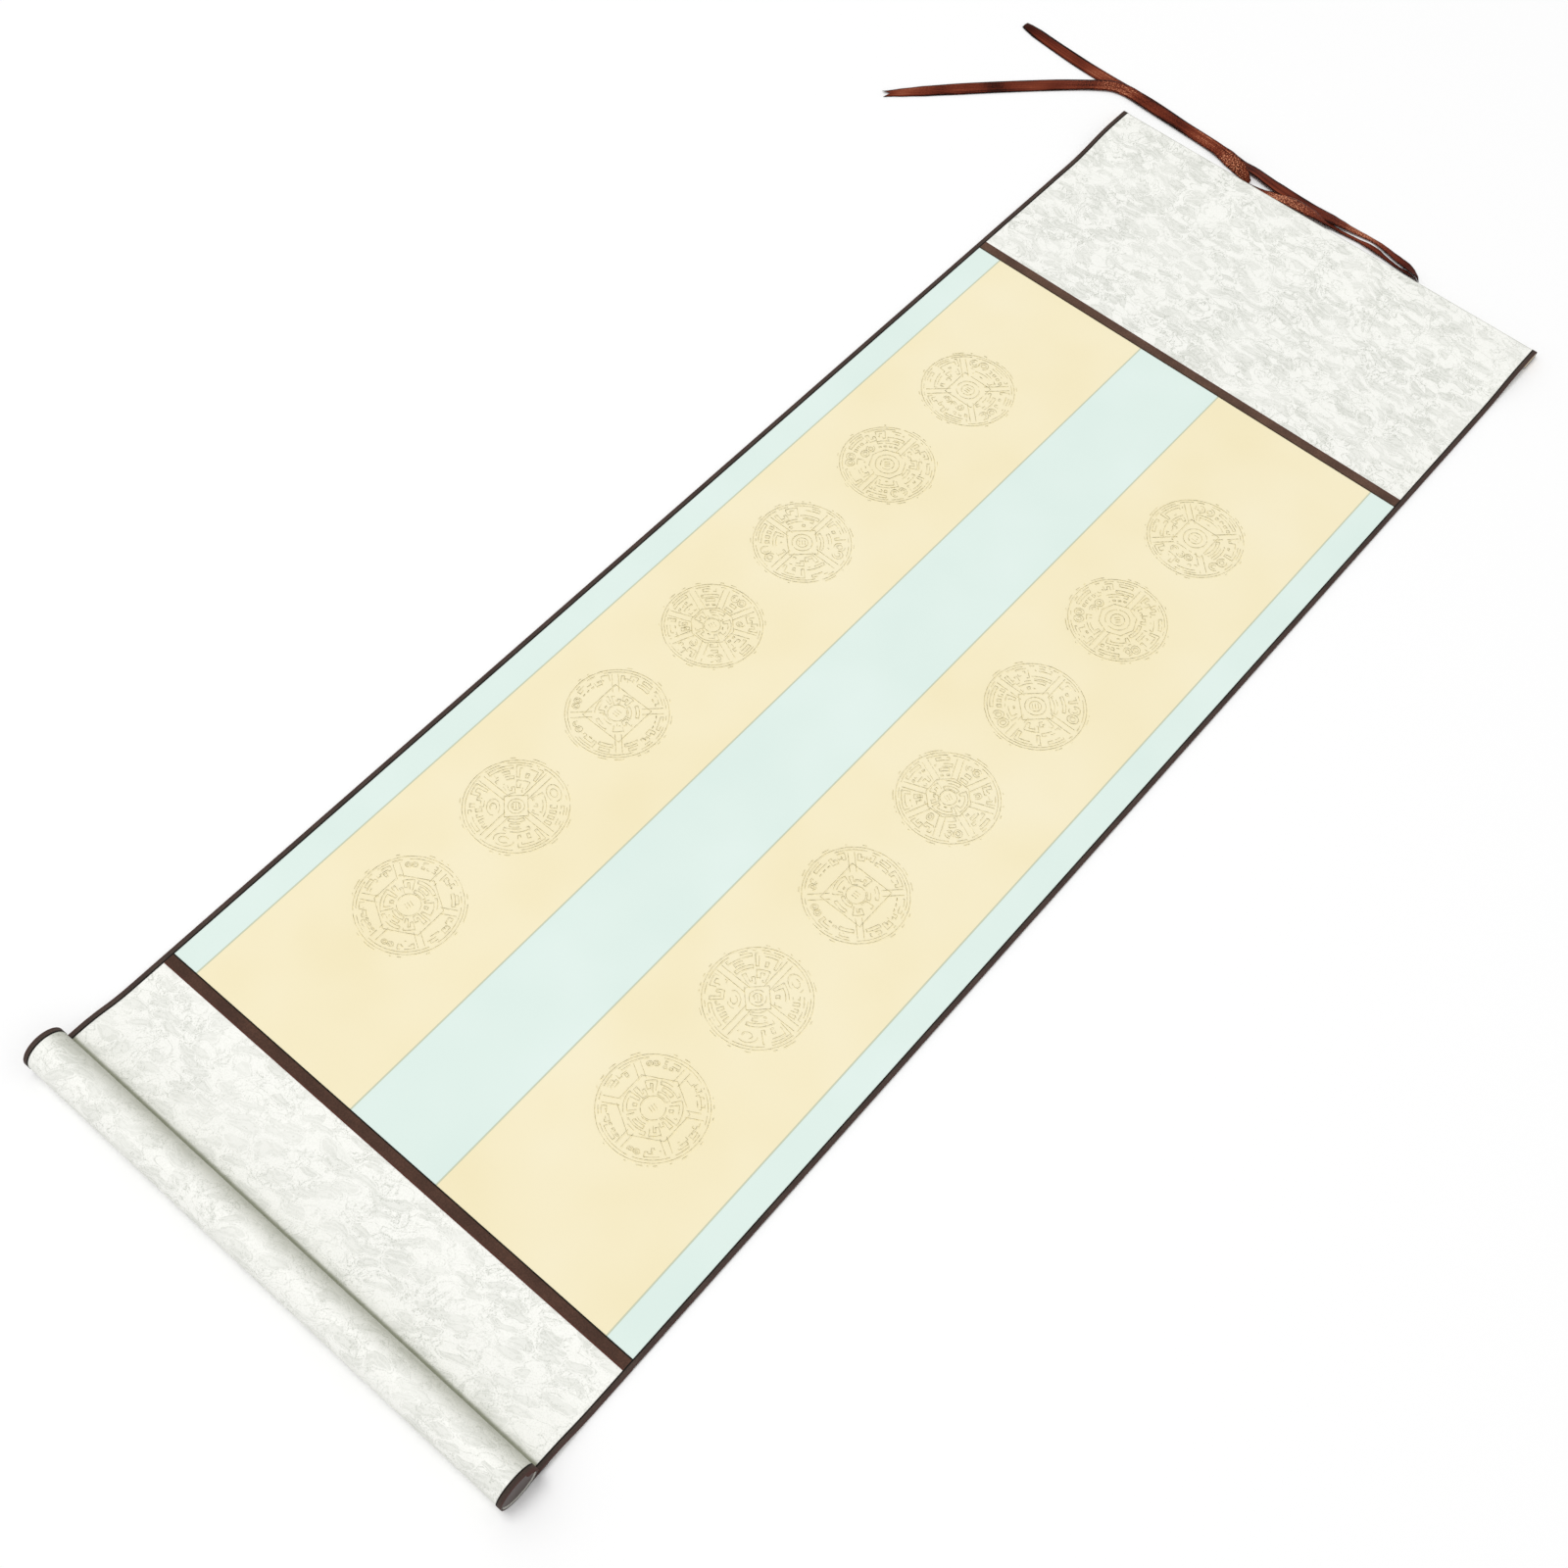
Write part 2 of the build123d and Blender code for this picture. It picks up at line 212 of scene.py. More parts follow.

# The ribbon's three strands. A route is a line of places (x, out from the head, height). A pose line is
# (x, tilt in degrees with the outward edge up, width, crown of the cross-section, share of painted
# highlight where its floats catch the light).
strands = {
    "ribbonFirstEnd": {
        "route": [
            (65.6, 2.8, 3.5), (63.5, 5.8, 1.8), (61.0, 7.7, 1.3), (58.0, 9.4, 1.1), (54.0, 11.0, 0.8),
            (47.0, 12.05, 0.9), (41.0, 13.2, 1.0), (34.0, 14.8, 0.9), (27.0, 15.4, 0.8), (20.0, 14.7, 0.8),
            (12.0, 13.9, 0.9), (5.0, 13.2, 1.2), (-3.0, 12.5, 1.4), (-12.0, 11.8, 1.1), (-24.0, 11.9, 1.0),
            (-39.0, 12.7, 1.0), (-48.0, 13.3, 1.3), (-56.0, 14.6, 1.4), (-62.0, 15.1, 1.3),
            (-68.0, 14.5, 1.2), (-78.0, 15.0, 1.0), (-92.0, 16.4, 0.7), (-106.0, 17.2, 0.5),
            (-118.0, 18.2, 0.4), (-146.0, 20.8, 0.4), (-172.0, 20.0, 0.4), (-210.0, 21.4, 0.4),
            (-248.0, 25.8, 0.5),
        ],
        "poses": [
            (65.6, -60, 4.6, 0.0, 0.2), (61.5, -22, 4.4, 0.0, 0.0), (57.5, -13, 5.7, 0.1, 0.1),
            (54.0, -7, 6.2, 0.1, 0.1), (47.0, -8, 6.0, 0.2, 0.2), (41.0, -12, 5.4, 0.2, 0.3),
            (34.0, -12, 4.7, 0.2, 0.5), (27.0, -12, 3.9, 0.2, 0.6), (20.0, -10, 4.8, 0.2, 0.7),
            (12.0, -11, 6.0, 0.2, 0.7), (5.0, -11, 8.2, 0.2, 0.5), (-3.0, -10, 10.0, 0.3, 0.2),
            (-12.0, -7, 10.0, 0.3, 0.1), (-24.0, -6, 10.0, 0.2, 0.0), (-39.0, -6, 10.0, 0.2, 0.0),
            (-48.0, -9, 9.6, 0.3, 0.1), (-56.0, -12, 9.3, 0.3, 0.1), (-62.0, -12, 9.2, 0.3, 0.1),
            (-68.0, -10, 9.0, 0.3, 0.2), (-76.0, -6, 10.0, 0.3, 0.3), (-92.0, -2, 10.0, 0.2, 0.4),
            (-110.0, 0, 10.0, 0.1, 0.2), (-150.0, 2, 10.0, 0.2, 0.3), (-200.0, 0, 10.0, 0.1, 0.1),
            (-236.0, 2, 9.0, 0.3, 0.1), (-243.0, 4, 7.4, 0.5, 0.0), (-248.0, 6, 5.2, 0.6, 0.0),
        ],
        "exit": (58.5, 1.0, 2.8),
        "farEnd": "bare",
        "notch": 0.0,
    },
    "ribbonBetweenStaples": {
        "route": [
            (65.6, 1.5, 3.3), (60.5, 4.8, 1.2), (56.0, 5.8, 0.8), (51.5, 5.9, 0.7), (45.0, 6.8, 0.7),
            (39.5, 7.7, 0.8), (34.0, 8.8, 0.9), (28.0, 9.3, 0.9), (20.0, 8.8, 0.7), (12.0, 8.0, 0.7),
            (5.5, 7.4, 0.9), (-5.0, 6.7, 2.4), (-15.0, 6.9, 2.6), (-24.0, 7.0, 2.4), (-30.0, 6.2, 2.3),
            (-35.0, 5.2, 2.1), (-41.0, 4.2, 1.7), (-47.0, 3.5, 1.2), (-53.0, 3.1, 0.7), (-62.0, 1.2, 2.4),
        ],
        "poses": [
            (65.6, -60, 4.4, 0.0, 0.2), (60.5, -24, 3.8, 0.0, 0.0), (56.0, -13, 3.5, 0.0, 0.0),
            (51.5, -13, 2.7, 0.1, 0.0), (45.0, -11, 2.9, 0.1, 0.0), (39.5, -13, 3.7, 0.1, 0.1),
            (34.0, -11, 5.2, 0.1, 0.2), (28.0, -12, 4.8, 0.1, 0.1), (20.0, -12, 3.1, 0.1, 0.0),
            (12.0, -11, 3.1, 0.1, 0.0), (5.5, -13, 3.4, 0.2, 0.1), (-5.0, -14, 7.0, 0.3, 0.3),
            (-15.0, -9, 9.5, 0.3, 0.6), (-24.0, -6, 10.0, 0.3, 0.9), (-30.0, -8, 10.0, 0.3, 1.0),
            (-35.0, -12, 9.6, 0.3, 1.0), (-41.0, -13, 7.0, 0.2, 0.7), (-47.0, -17, 4.6, 0.1, 0.2),
            (-53.0, -26, 4.0, 0.0, 0.0), (-62.0, -45, 4.6, 0.0, 0.0),
        ],
        "exit": (58.5, 1.0, 2.8),
        "farEnd": "object",
        "notch": 0.0,
    },
    "ribbonSecondEnd": {
        "route": [
            (-56.0, 1.6, 3.0), (-62.5, 5.4, 4.0), (-72.0, 9.5, 3.5), (-85.0, 15.1, 1.6), (-106.0, 16.8, 1.1),
            (-142.0, 18.6, 1.2), (-167.0, 20.4, 1.4), (-182.0, 9.6, 0.6), (-199.0, -6.8, 0.4),
            (-228.0, -37.2, 0.4), (-256.0, -68.4, 0.4), (-273.0, -88.4, 0.6),
        ],
        "poses": [
            (-56.0, 80, 5.0, 0.0, 0.5), (-62.5, 56, 7.6, 0.4, 0.8), (-70.0, 42, 9.0, 0.6, 1.0),
            (-78.0, 18, 10.0, 0.4, 0.9), (-88.0, 2, 10.0, 0.2, 0.4), (-120.0, 0, 10.0, 0.1, 0.2),
            (-150.0, 1, 10.0, 0.2, 0.3), (-163.0, 3, 10.0, 0.4, 0.6), (-172.0, 0, 9.8, 0.3, 0.7),
            (-184.0, -3, 9.8, 0.2, 0.4), (-200.0, 0, 10.0, 0.1, 0.1), (-240.0, 0, 10.0, 0.1, 0.2),
            (-256.0, 3, 8.8, 0.3, 0.2), (-265.0, 6, 7.0, 0.4, 0.1), (-273.0, 10, 4.6, 0.4, 0.0),
        ],
        "exit": (-56.0, 1.0, 2.8),
        "farEnd": "bare",
        "notch": 5.0,
    },
}


# The value of a pose line at a place along the ribbon, eased from line to line
def poseAt(lines, x):
    for (fromX, *fromPose), (toX, *toPose) in zip(lines, lines[1:]):
        if fromX >= x >= toX:
            share = (fromX - x) / (fromX - toX)
            share = share * share * (3 - 2 * share)
            return [a + (b - a) * share for a, b in zip(fromPose, toPose)]
    return lines[0][1:] if x > lines[0][0] else lines[-1][1:]


def makeStrand(name, strand):
    curve = bpy.data.curves.new(name + "Route", "CURVE")
    curve.dimensions = "3D"
    curve.resolution_u = 20
    spline = curve.splines.new("NURBS")
    spline.points.add(len(strand["route"]) - 1)
    for point, (x, out, z) in zip(spline.points, strand["route"]):
        point.co = (x / 1000, (ribbon["headY"] + out) / 1000, z / 1000, 1)
    spline.order_u = 3
    spline.use_endpoint_u = True
    routeHolder = bpy.data.objects.new(name + "Route", curve)
    line = bpy.data.meshes.new_from_object(routeHolder)
    centres = [vertex.co * 1000 for vertex in line.vertices]
    bpy.data.objects.remove(routeHolder)
    travelled = [0.0]
    for before, after in zip(centres, centres[1:]):
        travelled.append(travelled[-1] + (after - before).length)
    cloth = bmesh.new()
    weave = cloth.loops.layers.uv.new("weave")
    steps = ribbon["across"]
    paintedHighlightLayer = cloth.verts.layers.float.new("paintedHighlight")
    rings = []
    for index, centre in enumerate(centres):
        ahead = centres[min(index + 1, len(centres) - 1)]
        behind = centres[max(index - 1, 0)]
        forward = (ahead - behind).normalized()
        outward = forward.cross(Vector((0, 0, 1))).normalized()
        upward = outward.cross(forward)
        tilt, width, crown, paintedHighlight = poseAt(strand["poses"], centre.x)
        turn = math.radians(tilt)
        side = outward * math.cos(turn) + upward * math.sin(turn)
        face = upward * math.cos(turn) - outward * math.sin(turn)
        leftToGo = travelled[-1] - travelled[index]
        ring = []
        for layer in (1, -1):
            for step in range(steps + 1) if layer == 1 else range(steps, -1, -1):
                across = step / steps - 0.5
                lift = crown * (1 - 4 * across * across) - crown / 2 + layer * ribbon["thickness"] / 2
                reach = strand["notch"] * (2 * abs(across) - ribbon["notchStart"])
                reach *= max(0, 1 - leftToGo / ribbon["lastRun"])
                place = centre + side * across * width + face * lift + forward * reach
                place.z = max(place.z, ribbon["floorGap"] + (0.5 + layer / 2) * ribbon["thickness"])
                ring.append(cloth.verts.new(place / 1000))
                ring[-1][paintedHighlightLayer] = paintedHighlight
        rings.append(ring)
    count = len(rings[0])
    for index in range(len(rings) - 1):
        for corner in range(count):
            corners = ((index, corner), (index, corner + 1), (index + 1, corner + 1), (index + 1, corner))
            quad = cloth.faces.new([rings[ring][place % count] for ring, place in corners])
            quad.smooth = True
            for loop, (ring, place) in zip(quad.loops, corners):
                across = place if place <= steps else 2 * steps + 1 - place
                loop[weave].uv = (travelled[ring] / 1000, across / steps * ribbon["width"] / 1000)
    for ring in (rings[0], rings[-1]):
        for step in range(steps):
            cloth.faces.new((ring[step], ring[step + 1], ring[count - 2 - step], ring[count - 1 - step]))
    bmesh.ops.recalc_face_normals(cloth, faces=cloth.faces)
    mesh = bpy.data.meshes.new(name)
    cloth.to_mesh(mesh)
    cloth.free()
    piece = addPiece(name, mesh, satinRibbon, "hanging_ribbon")
    print(name, "length", round(travelled[-1], 1))


for name, strand in strands.items():
    makeStrand(name, strand)
print("ribbon laid")

# The scroll's own sizes, as in part.py
scroll = {
    "halfWidth": 150.0,
    "edging": 3.0,
    "backing": 0.5,
    "face": 0.75,
    "strip": 0.95,
    "rollerRadius": 10.0,
    "rollRadius": 10.05,
    "rollerY": -425.725,
    "rollerZ": 11.0,
    "crease": 3.0,
    "flap": 9.0,
    "footSlope": 30.0,
    "staveTop": 4.65,
    "staveMiddle": 2.8,
    "noseRadius": 1.85,
    "noseY": 433.075,
    "staveBack": 422.925,
    "headSlope": 50.0,
    "footJoint": -356.475,
    "headJoint": 283.025,
    "separator": 6.5,
}
quarter = math.pi / 2
crestRadius = scroll["rollRadius"] + scroll["face"]
crestDrop = scroll["rollerZ"] - scroll["crease"] - scroll["face"]
creaseY = scroll["rollerY"] + math.sqrt(crestRadius ** 2 - crestDrop ** 2)
flapEnd = creaseY + scroll["flap"]
footSlopeEnd = flapEnd + scroll["footSlope"]
footAngle = 2 * math.atan(scroll["crease"] / scroll["footSlope"])
footRadius = scroll["footSlope"] / (2 * math.sin(footAngle))
headSlopeStart = scroll["staveBack"] - scroll["headSlope"]
headAngle = 2 * math.atan(scroll["staveTop"] / scroll["headSlope"])
headRadius = scroll["headSlope"] / (2 * math.sin(headAngle))


# Points on an arc in the section, the first left out, since the run before it ends there
def arcPoints(centreY, centreZ, radius, start, end, count):
    angles = [start + (end - start) * step / count for step in range(1, count + 1)]
    return [(centreY + radius * math.cos(a), centreZ + radius * math.sin(a)) for a in angles]


def runPoints(fromY, toY, z, count):
    return [(fromY + (toY - fromY) * step / count, z) for step in range(1, count + 1)]


# The section of one layer's surface from the joint at the foot to the end of the glued flap
def footPath(level):
    top = scroll["crease"] + level
    under = scroll["crease"] - level
    circle = scroll["rollRadius"] + level
    enter = -math.asin((scroll["rollerZ"] - top) / circle)
    leave = 4 * quarter - math.asin((scroll["rollerZ"] - under) / circle)
    hollow = (footSlopeEnd, footRadius, footRadius - level)
    crown = (flapEnd, scroll["crease"] - footRadius, footRadius + level)
    points = [(scroll["footJoint"], level)]
    points += runPoints(scroll["footJoint"], footSlopeEnd, level, 4)
    points += arcPoints(*hollow, 3 * quarter, 3 * quarter - footAngle, 8)
    points += arcPoints(*crown, quarter - footAngle, quarter, 8)
    points += runPoints(flapEnd, scroll["rollerY"] + circle * math.cos(enter), top, 4)
    points += arcPoints(scroll["rollerY"], scroll["rollerZ"], circle, enter, leave, 96)
    points += runPoints(scroll["rollerY"] + circle * math.cos(leave), flapEnd, under, 4)
    return points


# The same from the joint at the head, over the stave and round its nose, to the end of the hem
def headPath(level):
    hollow = (headSlopeStart, headRadius, headRadius - level)
    crown = (scroll["staveBack"], scroll["staveTop"] - headRadius, headRadius + level)
    nose = (scroll["noseY"], scroll["staveMiddle"], scroll["noseRadius"] + level)
    points = [(scroll["headJoint"], level)]
    points += runPoints(scroll["headJoint"], headSlopeStart, level, 12)
    points += arcPoints(*hollow, 3 * quarter, 3 * quarter + headAngle, 10)
    points += arcPoints(*crown, quarter + headAngle, quarter, 10)
    points += runPoints(scroll["staveBack"], scroll["noseY"], scroll["staveTop"] + level, 4)
    points += arcPoints(*nose, quarter, -quarter, 16)
    points += runPoints(scroll["noseY"], scroll["staveBack"], scroll["strip"] - level, 4)
    return points


def wholePath(level):
    return footPath(level)[::-1] + headPath(level)


# A glued layer between two levels of the section, closed, with its UV map laid out flat in metres
def addLayer(mesh, sheetUv, lowPath, highPath, places):
    lengths = [0.0]
    for (y0, z0), (y1, z1) in zip(highPath, highPath[1:]):
        lengths.append(lengths[-1] + math.hypot(y1 - y0, z1 - z0))
    grid = [
        [[mesh.verts.new((x / 1000, y / 1000, z / 1000)) for y, z in path] for path in (lowPath, highPath)]
        for x in places
    ]
    last = len(highPath) - 1
    faces = []

    def addFace(corners):
        face = mesh.faces.new([grid[column][side][row] for column, side, row in corners])
        face.smooth = True
        for loop, (column, side, row) in zip(face.loops, corners):
            loop[sheetUv].uv = (places[column] / 1000, lengths[row] / 1000)
        faces.append(face)

    for column in range(len(places) - 1):
        after = column + 1
        for row in range(last):
            for side in (0, 1):
                near, far = [((column, side, place), (after, side, place)) for place in (row, row + 1)]
                addFace(near + far[::-1])
        for row in (0, last):
            addFace(((column, 0, row), (after, 0, row), (after, 1, row), (column, 1, row)))
    for column in (0, len(places) - 1):
        for row in range(last):
            addFace(((column, 0, row), (column, 1, row), (column, 1, row + 1), (column, 0, row + 1)))
    bmesh.ops.recalc_face_normals(mesh, faces=faces)


def finishLayer(name, sheet):
    for edge in sheet.edges:
        edge.smooth = edge.calc_face_angle(0) < math.radians(25)
    mesh = bpy.data.meshes.new(name)
    sheet.to_mesh(mesh)
    sheet.free()
    return mesh


def makeLayer(name, lowPath, highPath, places):
    sheet = bmesh.new()
    addLayer(sheet, sheet.loops.layers.uv.new("sheet"), lowPath, highPath, places)
    return finishLayer(name, sheet)


def columns(low, high, step):
    count = max(1, round((high - low) / step))
    return [low + (high - low) * index / count for index in range(count + 1)]


# Joins rings of points into a closed tube, each ring being a list of vertices in the same order
def joinRings(mesh, rings, smooth):
    faces = []
    for before, after in zip(rings, rings[1:]):
        for corner in range(len(before)):
            quad = mesh.faces.new((before[corner], before[corner - 1], after[corner - 1], after[corner]))
            quad.smooth = smooth
            faces.append(quad)
    faces += [mesh.faces.new(ring) for ring in (rings[0], rings[-1])]
    bmesh.ops.recalc_face_normals(mesh, faces=faces)


# A vertex at a distance from the roller's middle line
def rollerPoint(mesh, x, radius, turn):
    y = scroll["rollerY"] + radius * math.cos(turn)
    z = scroll["rollerZ"] + radius * math.sin(turn)
    return mesh.verts.new((x / 1000, y / 1000, z / 1000))


# Jacquard-woven brocade of white rayon on white cotton: leaves in a duller, greyer weave with fine
# white ribs, and curls between them. The taped cut edges are dark. Bands of painted shade darken the
# cloth in and beside the crease, over the roll and on the hem's fold.
brocade = {
    "ground": "#FBFBF5",
    "figure": "#C0C3B9",
    "paintedShade": "#6E7252",
    "tapedEdge": "#35231F",
    "leafLength": 15.0,
    "leafShare": 0.72,
    "dotShare": 0.5,
    "grainShare": 0.16,
    "leafSlimness": (2.7, 1.15, 1.0),
    "swirls": [(0.6, 1.0, 1.1), (2.6, 2.0, 0.26)],  # noise scale, detail and reach of each bend
    "twillSpacing": 0.72,
    "relief": 0.2,
    "roughness": (0.48, 0.68),
    # Painted shade: beside and in the crease, over the roll's side that faces the sheet, and round its outer
    # side
    "footPaintedShade": [
        (51.4, 56.9, 61.0, 0.2),
        (55.1, 57.0, 61.0, 0.8),
        (89.4, 71.4, 61.0, 0.58),
        (96.4, 104.4, 111.4, 0.16),
    ],
    # Painted shade on the hem's rounded fold
    "headPaintedShade": [(150.5, 151.4, 158.0, 0.34)],
    "tapedDepth": 0.05,
}

# How the weave is worked out: each line names a value, the way it is made and what it is made from
weaveSteps = [
    ("leafShape", "smooth", {0: "reach", 1: 0.44, 2: 0.41}),
    ("leafChosen", "smooth", {0: "pick", 1: 0.38, 2: 0.4}),
    ("leaf", "times", {0: "leafShape", 1: "leafChosen"}),
    ("heartShape", "smooth", {0: "reach", 1: 0.22, 2: 0.18}),
    ("heartChosen", "smooth", {0: "pick", 1: 0.5, 2: 0.55}),
    ("heart", "times", {0: "heartShape", 1: "heartChosen"}),
    ("rimStart", "smooth", {0: "reach", 1: 0.46, 2: 0.48}),
    ("rimEnd", "smooth", {0: "reach", 1: 0.55, 2: 0.52}),
    ("rim", "times", {0: "rimStart", 1: "rimEnd"}),
    ("veins", "smooth", {0: "waves", 1: 0.66, 2: 0.84}),
    ("dotted", "smooth", {0: "areas", 1: 0.44, 2: 0.5}),
    ("contourRise", "times", {0: "contours", 1: 7.0}),
    ("contourFold", "folded", {0: "contourRise", 1: 0.5}),
    ("contourLines", "smooth", {0: "contourFold", 1: 0.17, 2: 0.08}),
    ("curls", "times", {0: "contourLines", 1: "dotted"}),
    ("ribs", "larger", {0: "heart", 1: "veins"}),
    ("ribShare", "times", {0: "ribs", 1: 0.3}),
    ("fillShare", "minus", {0: brocade["leafShare"], 1: "ribShare"}),
    ("leafFill", "times", {0: "leaf", 1: "fillShare"}),
    ("fillTwill", "smooth", {0: "dots", 1: 0.2, 2: 0.7, 3: 1.0, 4: 0.7}),
    ("fill", "times", {0: "leafFill", 1: "fillTwill"}),
    ("rimShare", "times", {0: "rim", 1: 0.8}),
    ("outlines", "larger", {0: "rimShare", 1: "curls"}),
    ("lineTwill", "smooth", {0: "dots", 1: 0.3, 2: 0.6, 3: 1.0, 4: 0.35}),
    ("lines", "times", {0: "outlines", 1: "lineTwill"}),
    ("dotShape", "smooth", {0: "dots", 1: 0.62, 2: 0.2}),
    ("dotArea", "times", {0: "dotted", 1: brocade["dotShare"]}),
    ("stipple", "times", {0: "dotShape", 1: "dotArea"}),
    ("filled", "larger", {0: "fill", 1: "lines"}),
    ("stippled", "larger", {0: "filled", 1: "stipple"}),
    ("crowded", "smooth", {0: "crowd", 1: 0.36, 2: 0.6, 3: 0.6, 4: 1.0}),
    ("grouped", "times", {0: "stippled", 1: "crowded"}),
    ("drawn", "times", {0: "grouped", 1: "strength"}),
    ("grain", "times", {0: "dotShape", 1: brocade["grainShare"]}),
    ("figure", "larger", {0: "drawn", 1: "grain"}),
]


# The cut edges at the sheet's sides take the tape's colour
def darkenSides(tree, spot, tone):
    sideways = addNode(tree, "absolute", {0: addNode(tree, "split", {0: spot})})
    taped = addNode(tree, "above", {0: sideways, 1: (scroll["halfWidth"] - brocade["tapedDepth"]) / 1000})
    return addNode(tree, "blend", {0: taped, 6: tone, 7: linear(brocade["tapedEdge"])})


# Makes the weave from the sheet's own flat UV map: turn is the leaves' direction, shift their place.
# Strength is how far the figures stand out. Each band of painted shade starts at one distance along
# the sheet, is full at the next and stops at the third.
def makeBrocade(name, turn, shift, strength, paintedShadeBands):
    material, tree, shader = startMaterial(
        name, {"Roughness": 0.55, "Sheen Weight": 0.1, "Sheen Roughness": 0.5, "Specular IOR Level": 0.3}
    )
    flat = addNode(tree, "ShaderNodeUVMap", uv_map="sheet")
    leafScale = (1000 / brocade["leafLength"],) * 3
    placed = addNode(tree, "mapping", {0: flat, 1: (shift, 0, 0), 2: (0, 0, turn), 3: leafScale})
    swirled = placed
    for frequency, detail, amount in brocade["swirls"]:
        noise = addNode(tree, "noise", {0: swirled, 2: frequency, 3: detail}).outputs[1]
        centred = addNode(tree, "vectorMinus", {0: noise, 1: (0.5, 0.5, 0.5)})
        sized = addNode(tree, "vectorScale", {0: centred, 3: amount})
        swirled = addNode(tree, "vectorPlus", {0: swirled, 1: sized})
    slim = addNode(tree, "mapping", {0: swirled, 2: (0, 0, 0.5), 3: brocade["leafSlimness"]})
    cells = addNode(tree, "ShaderNodeTexVoronoi", {0: slim, 2: 1.0, 8: 0.9}, voronoi_dimensions="2D")
    waveInputs = {0: slim, 1: 1.3, 2: 3.4, 3: 1.0, 4: 1.5}
    waves = addNode(tree, "ShaderNodeTexWave", waveInputs, bands_direction="DIAGONAL")
    # Threads are 0.2 mm apart, which no render here shows, so the twill is drawn coarser
    threads = addNode(tree, "mapping", {0: flat, 3: (1000 / brocade["twillSpacing"],) * 3})
    made = {
        "strength": strength,
        "reach": cells,
        "pick": addNode(tree, "ShaderNodeSeparateColor", {0: cells.outputs[1]}),
        "waves": waves.outputs[1],
        "dots": addNode(tree, "ShaderNodeTexVoronoi", {0: threads, 2: 1.0}),
        "areas": addNode(tree, "noise", {0: placed, 2: 1.25, 3: 2.0}),
        "contours": addNode(tree, "noise", {0: swirled, 2: 1.5, 3: 1.0}),
        "crowd": addNode(tree, "noise", {0: placed, 2: 0.5, 3: 1.0}),
    }
    for label, kind, inputs in weaveSteps:
        given = {socket: made.get(value, value) for socket, value in inputs.items()}
        made[label] = addNode(tree, kind, given)
    figure = made["figure"]
    tone = addNode(tree, "blend", {0: figure, 6: linear(brocade["ground"]), 7: linear(brocade["figure"])})
    along = addNode(tree, "split", {0: flat}).outputs[1]
    # Each band blends the cloth's colour towards the painted shade
    for start, end, stop, share in paintedShadeBands:
        band = addNode(tree, "smooth", {0: along, 1: start / 1000, 2: end / 1000, 4: share})
        kept = addNode(tree, "below" if start < end else "above", {0: along, 1: stop / 1000})
        paintedShade = addNode(tree, "times", {0: band, 1: kept})
        tone = addNode(tree, "blend", {0: paintedShade, 6: tone, 7: linear(brocade["paintedShade"])})
    finished = darkenSides(tree, addNode(tree, "spot").outputs["Object"], tone)
    smooth, rough = brocade["roughness"]
    roughness = addNode(tree, "range", {0: figure, 3: smooth, 4: rough})
    height = addNode(tree, "minus", {0: made["dots"], 1: figure})
    relief = addNode(tree, "bump", {0: 0.2, 1: brocade["relief"] / 1000, 3: height})
    feed(tree, shader, {"Base Color": finished, "Roughness": roughness, "Normal": relief})
    return material


inside = scroll["halfWidth"]
for name, path, turn, shift, strength, paintedShade, node in (
    ("brocadeFoot", footPath, 1.9, 0.0, 0.72, "footPaintedShade", "bottom_brocade_panel"),
    ("brocadeHead", headPath, 1.66, 3.7, 0.94, "headPaintedShade", "top_brocade_panel"),
):
    panel = makeLayer(name, path(scroll["backing"]), path(scroll["face"]), columns(-inside, inside, 10))
    cloth = makeBrocade(name.replace("brocade", "wovenBrocade"), turn, shift, strength, brocade[paintedShade])
    addPiece(name, panel, cloth, node)
print("brocade panels made")

# Machine-made mounting paper, white and slightly fibrous
backing = {"base": "#ECEBE3", "cloud": "#E2E1D7", "clouds": 18.0, "fibre": 0.6}
backingPaper, tree, shader = startMaterial("rolledBackingPaper", {"Roughness": 0.85})
spot = addNode(tree, "spot").outputs["Object"]
cloud = addNode(tree, "noise", {0: spot, 2: backing["clouds"], 3: 3.0})
tone = addNode(tree, "blend", {0: cloud, 6: linear(backing["base"]), 7: linear(backing["cloud"])})
feed(tree, shader, {"Base Color": darkenSides(tree, spot, tone)})
addGrain(tree, shader, spot, backing["fibre"], 0.25)
sheet = makeLayer("backingPaper", wholePath(0.0), wholePath(scroll["backing"]), columns(-inside, inside, 20))
addPiece("backingPaper", sheet, backingPaper, "backing_sheet")
print("backing made")

# Dyed paper tape with a silk face, slit from a wide sheet: dull brown, with a line of painted shade along
# one edge
edging = {
    "base": "#3F342F",
    "light": "#52443D",
    # dark is the colour of the painted shade line
    "dark": "#171410",
    "red": "#4C3632",
    "thread": 0.7,
    "tabStart": 8.0,
    "tabEnd": 66.0,
    "tabReach": 1.3,
    "tabSteps": 24,
    "tabOverlap": 0.2,
    "tabLeast": 0.1,
    "tabTear": 0.16,
    "tabRise": 0.16,
    "tabFall": 0.06,
    "tabStub": 0.15,
    # Where the painted shade line starts and where it is full, measured from its edge
    "paintedShadeLine": (0.9, 0.5),
    "redLine": (0.9, 0.3),
    "wearPerMetre": 60.0,
    "worn": (0.15, 0.4),  # where the rubbed tone starts and is full
}
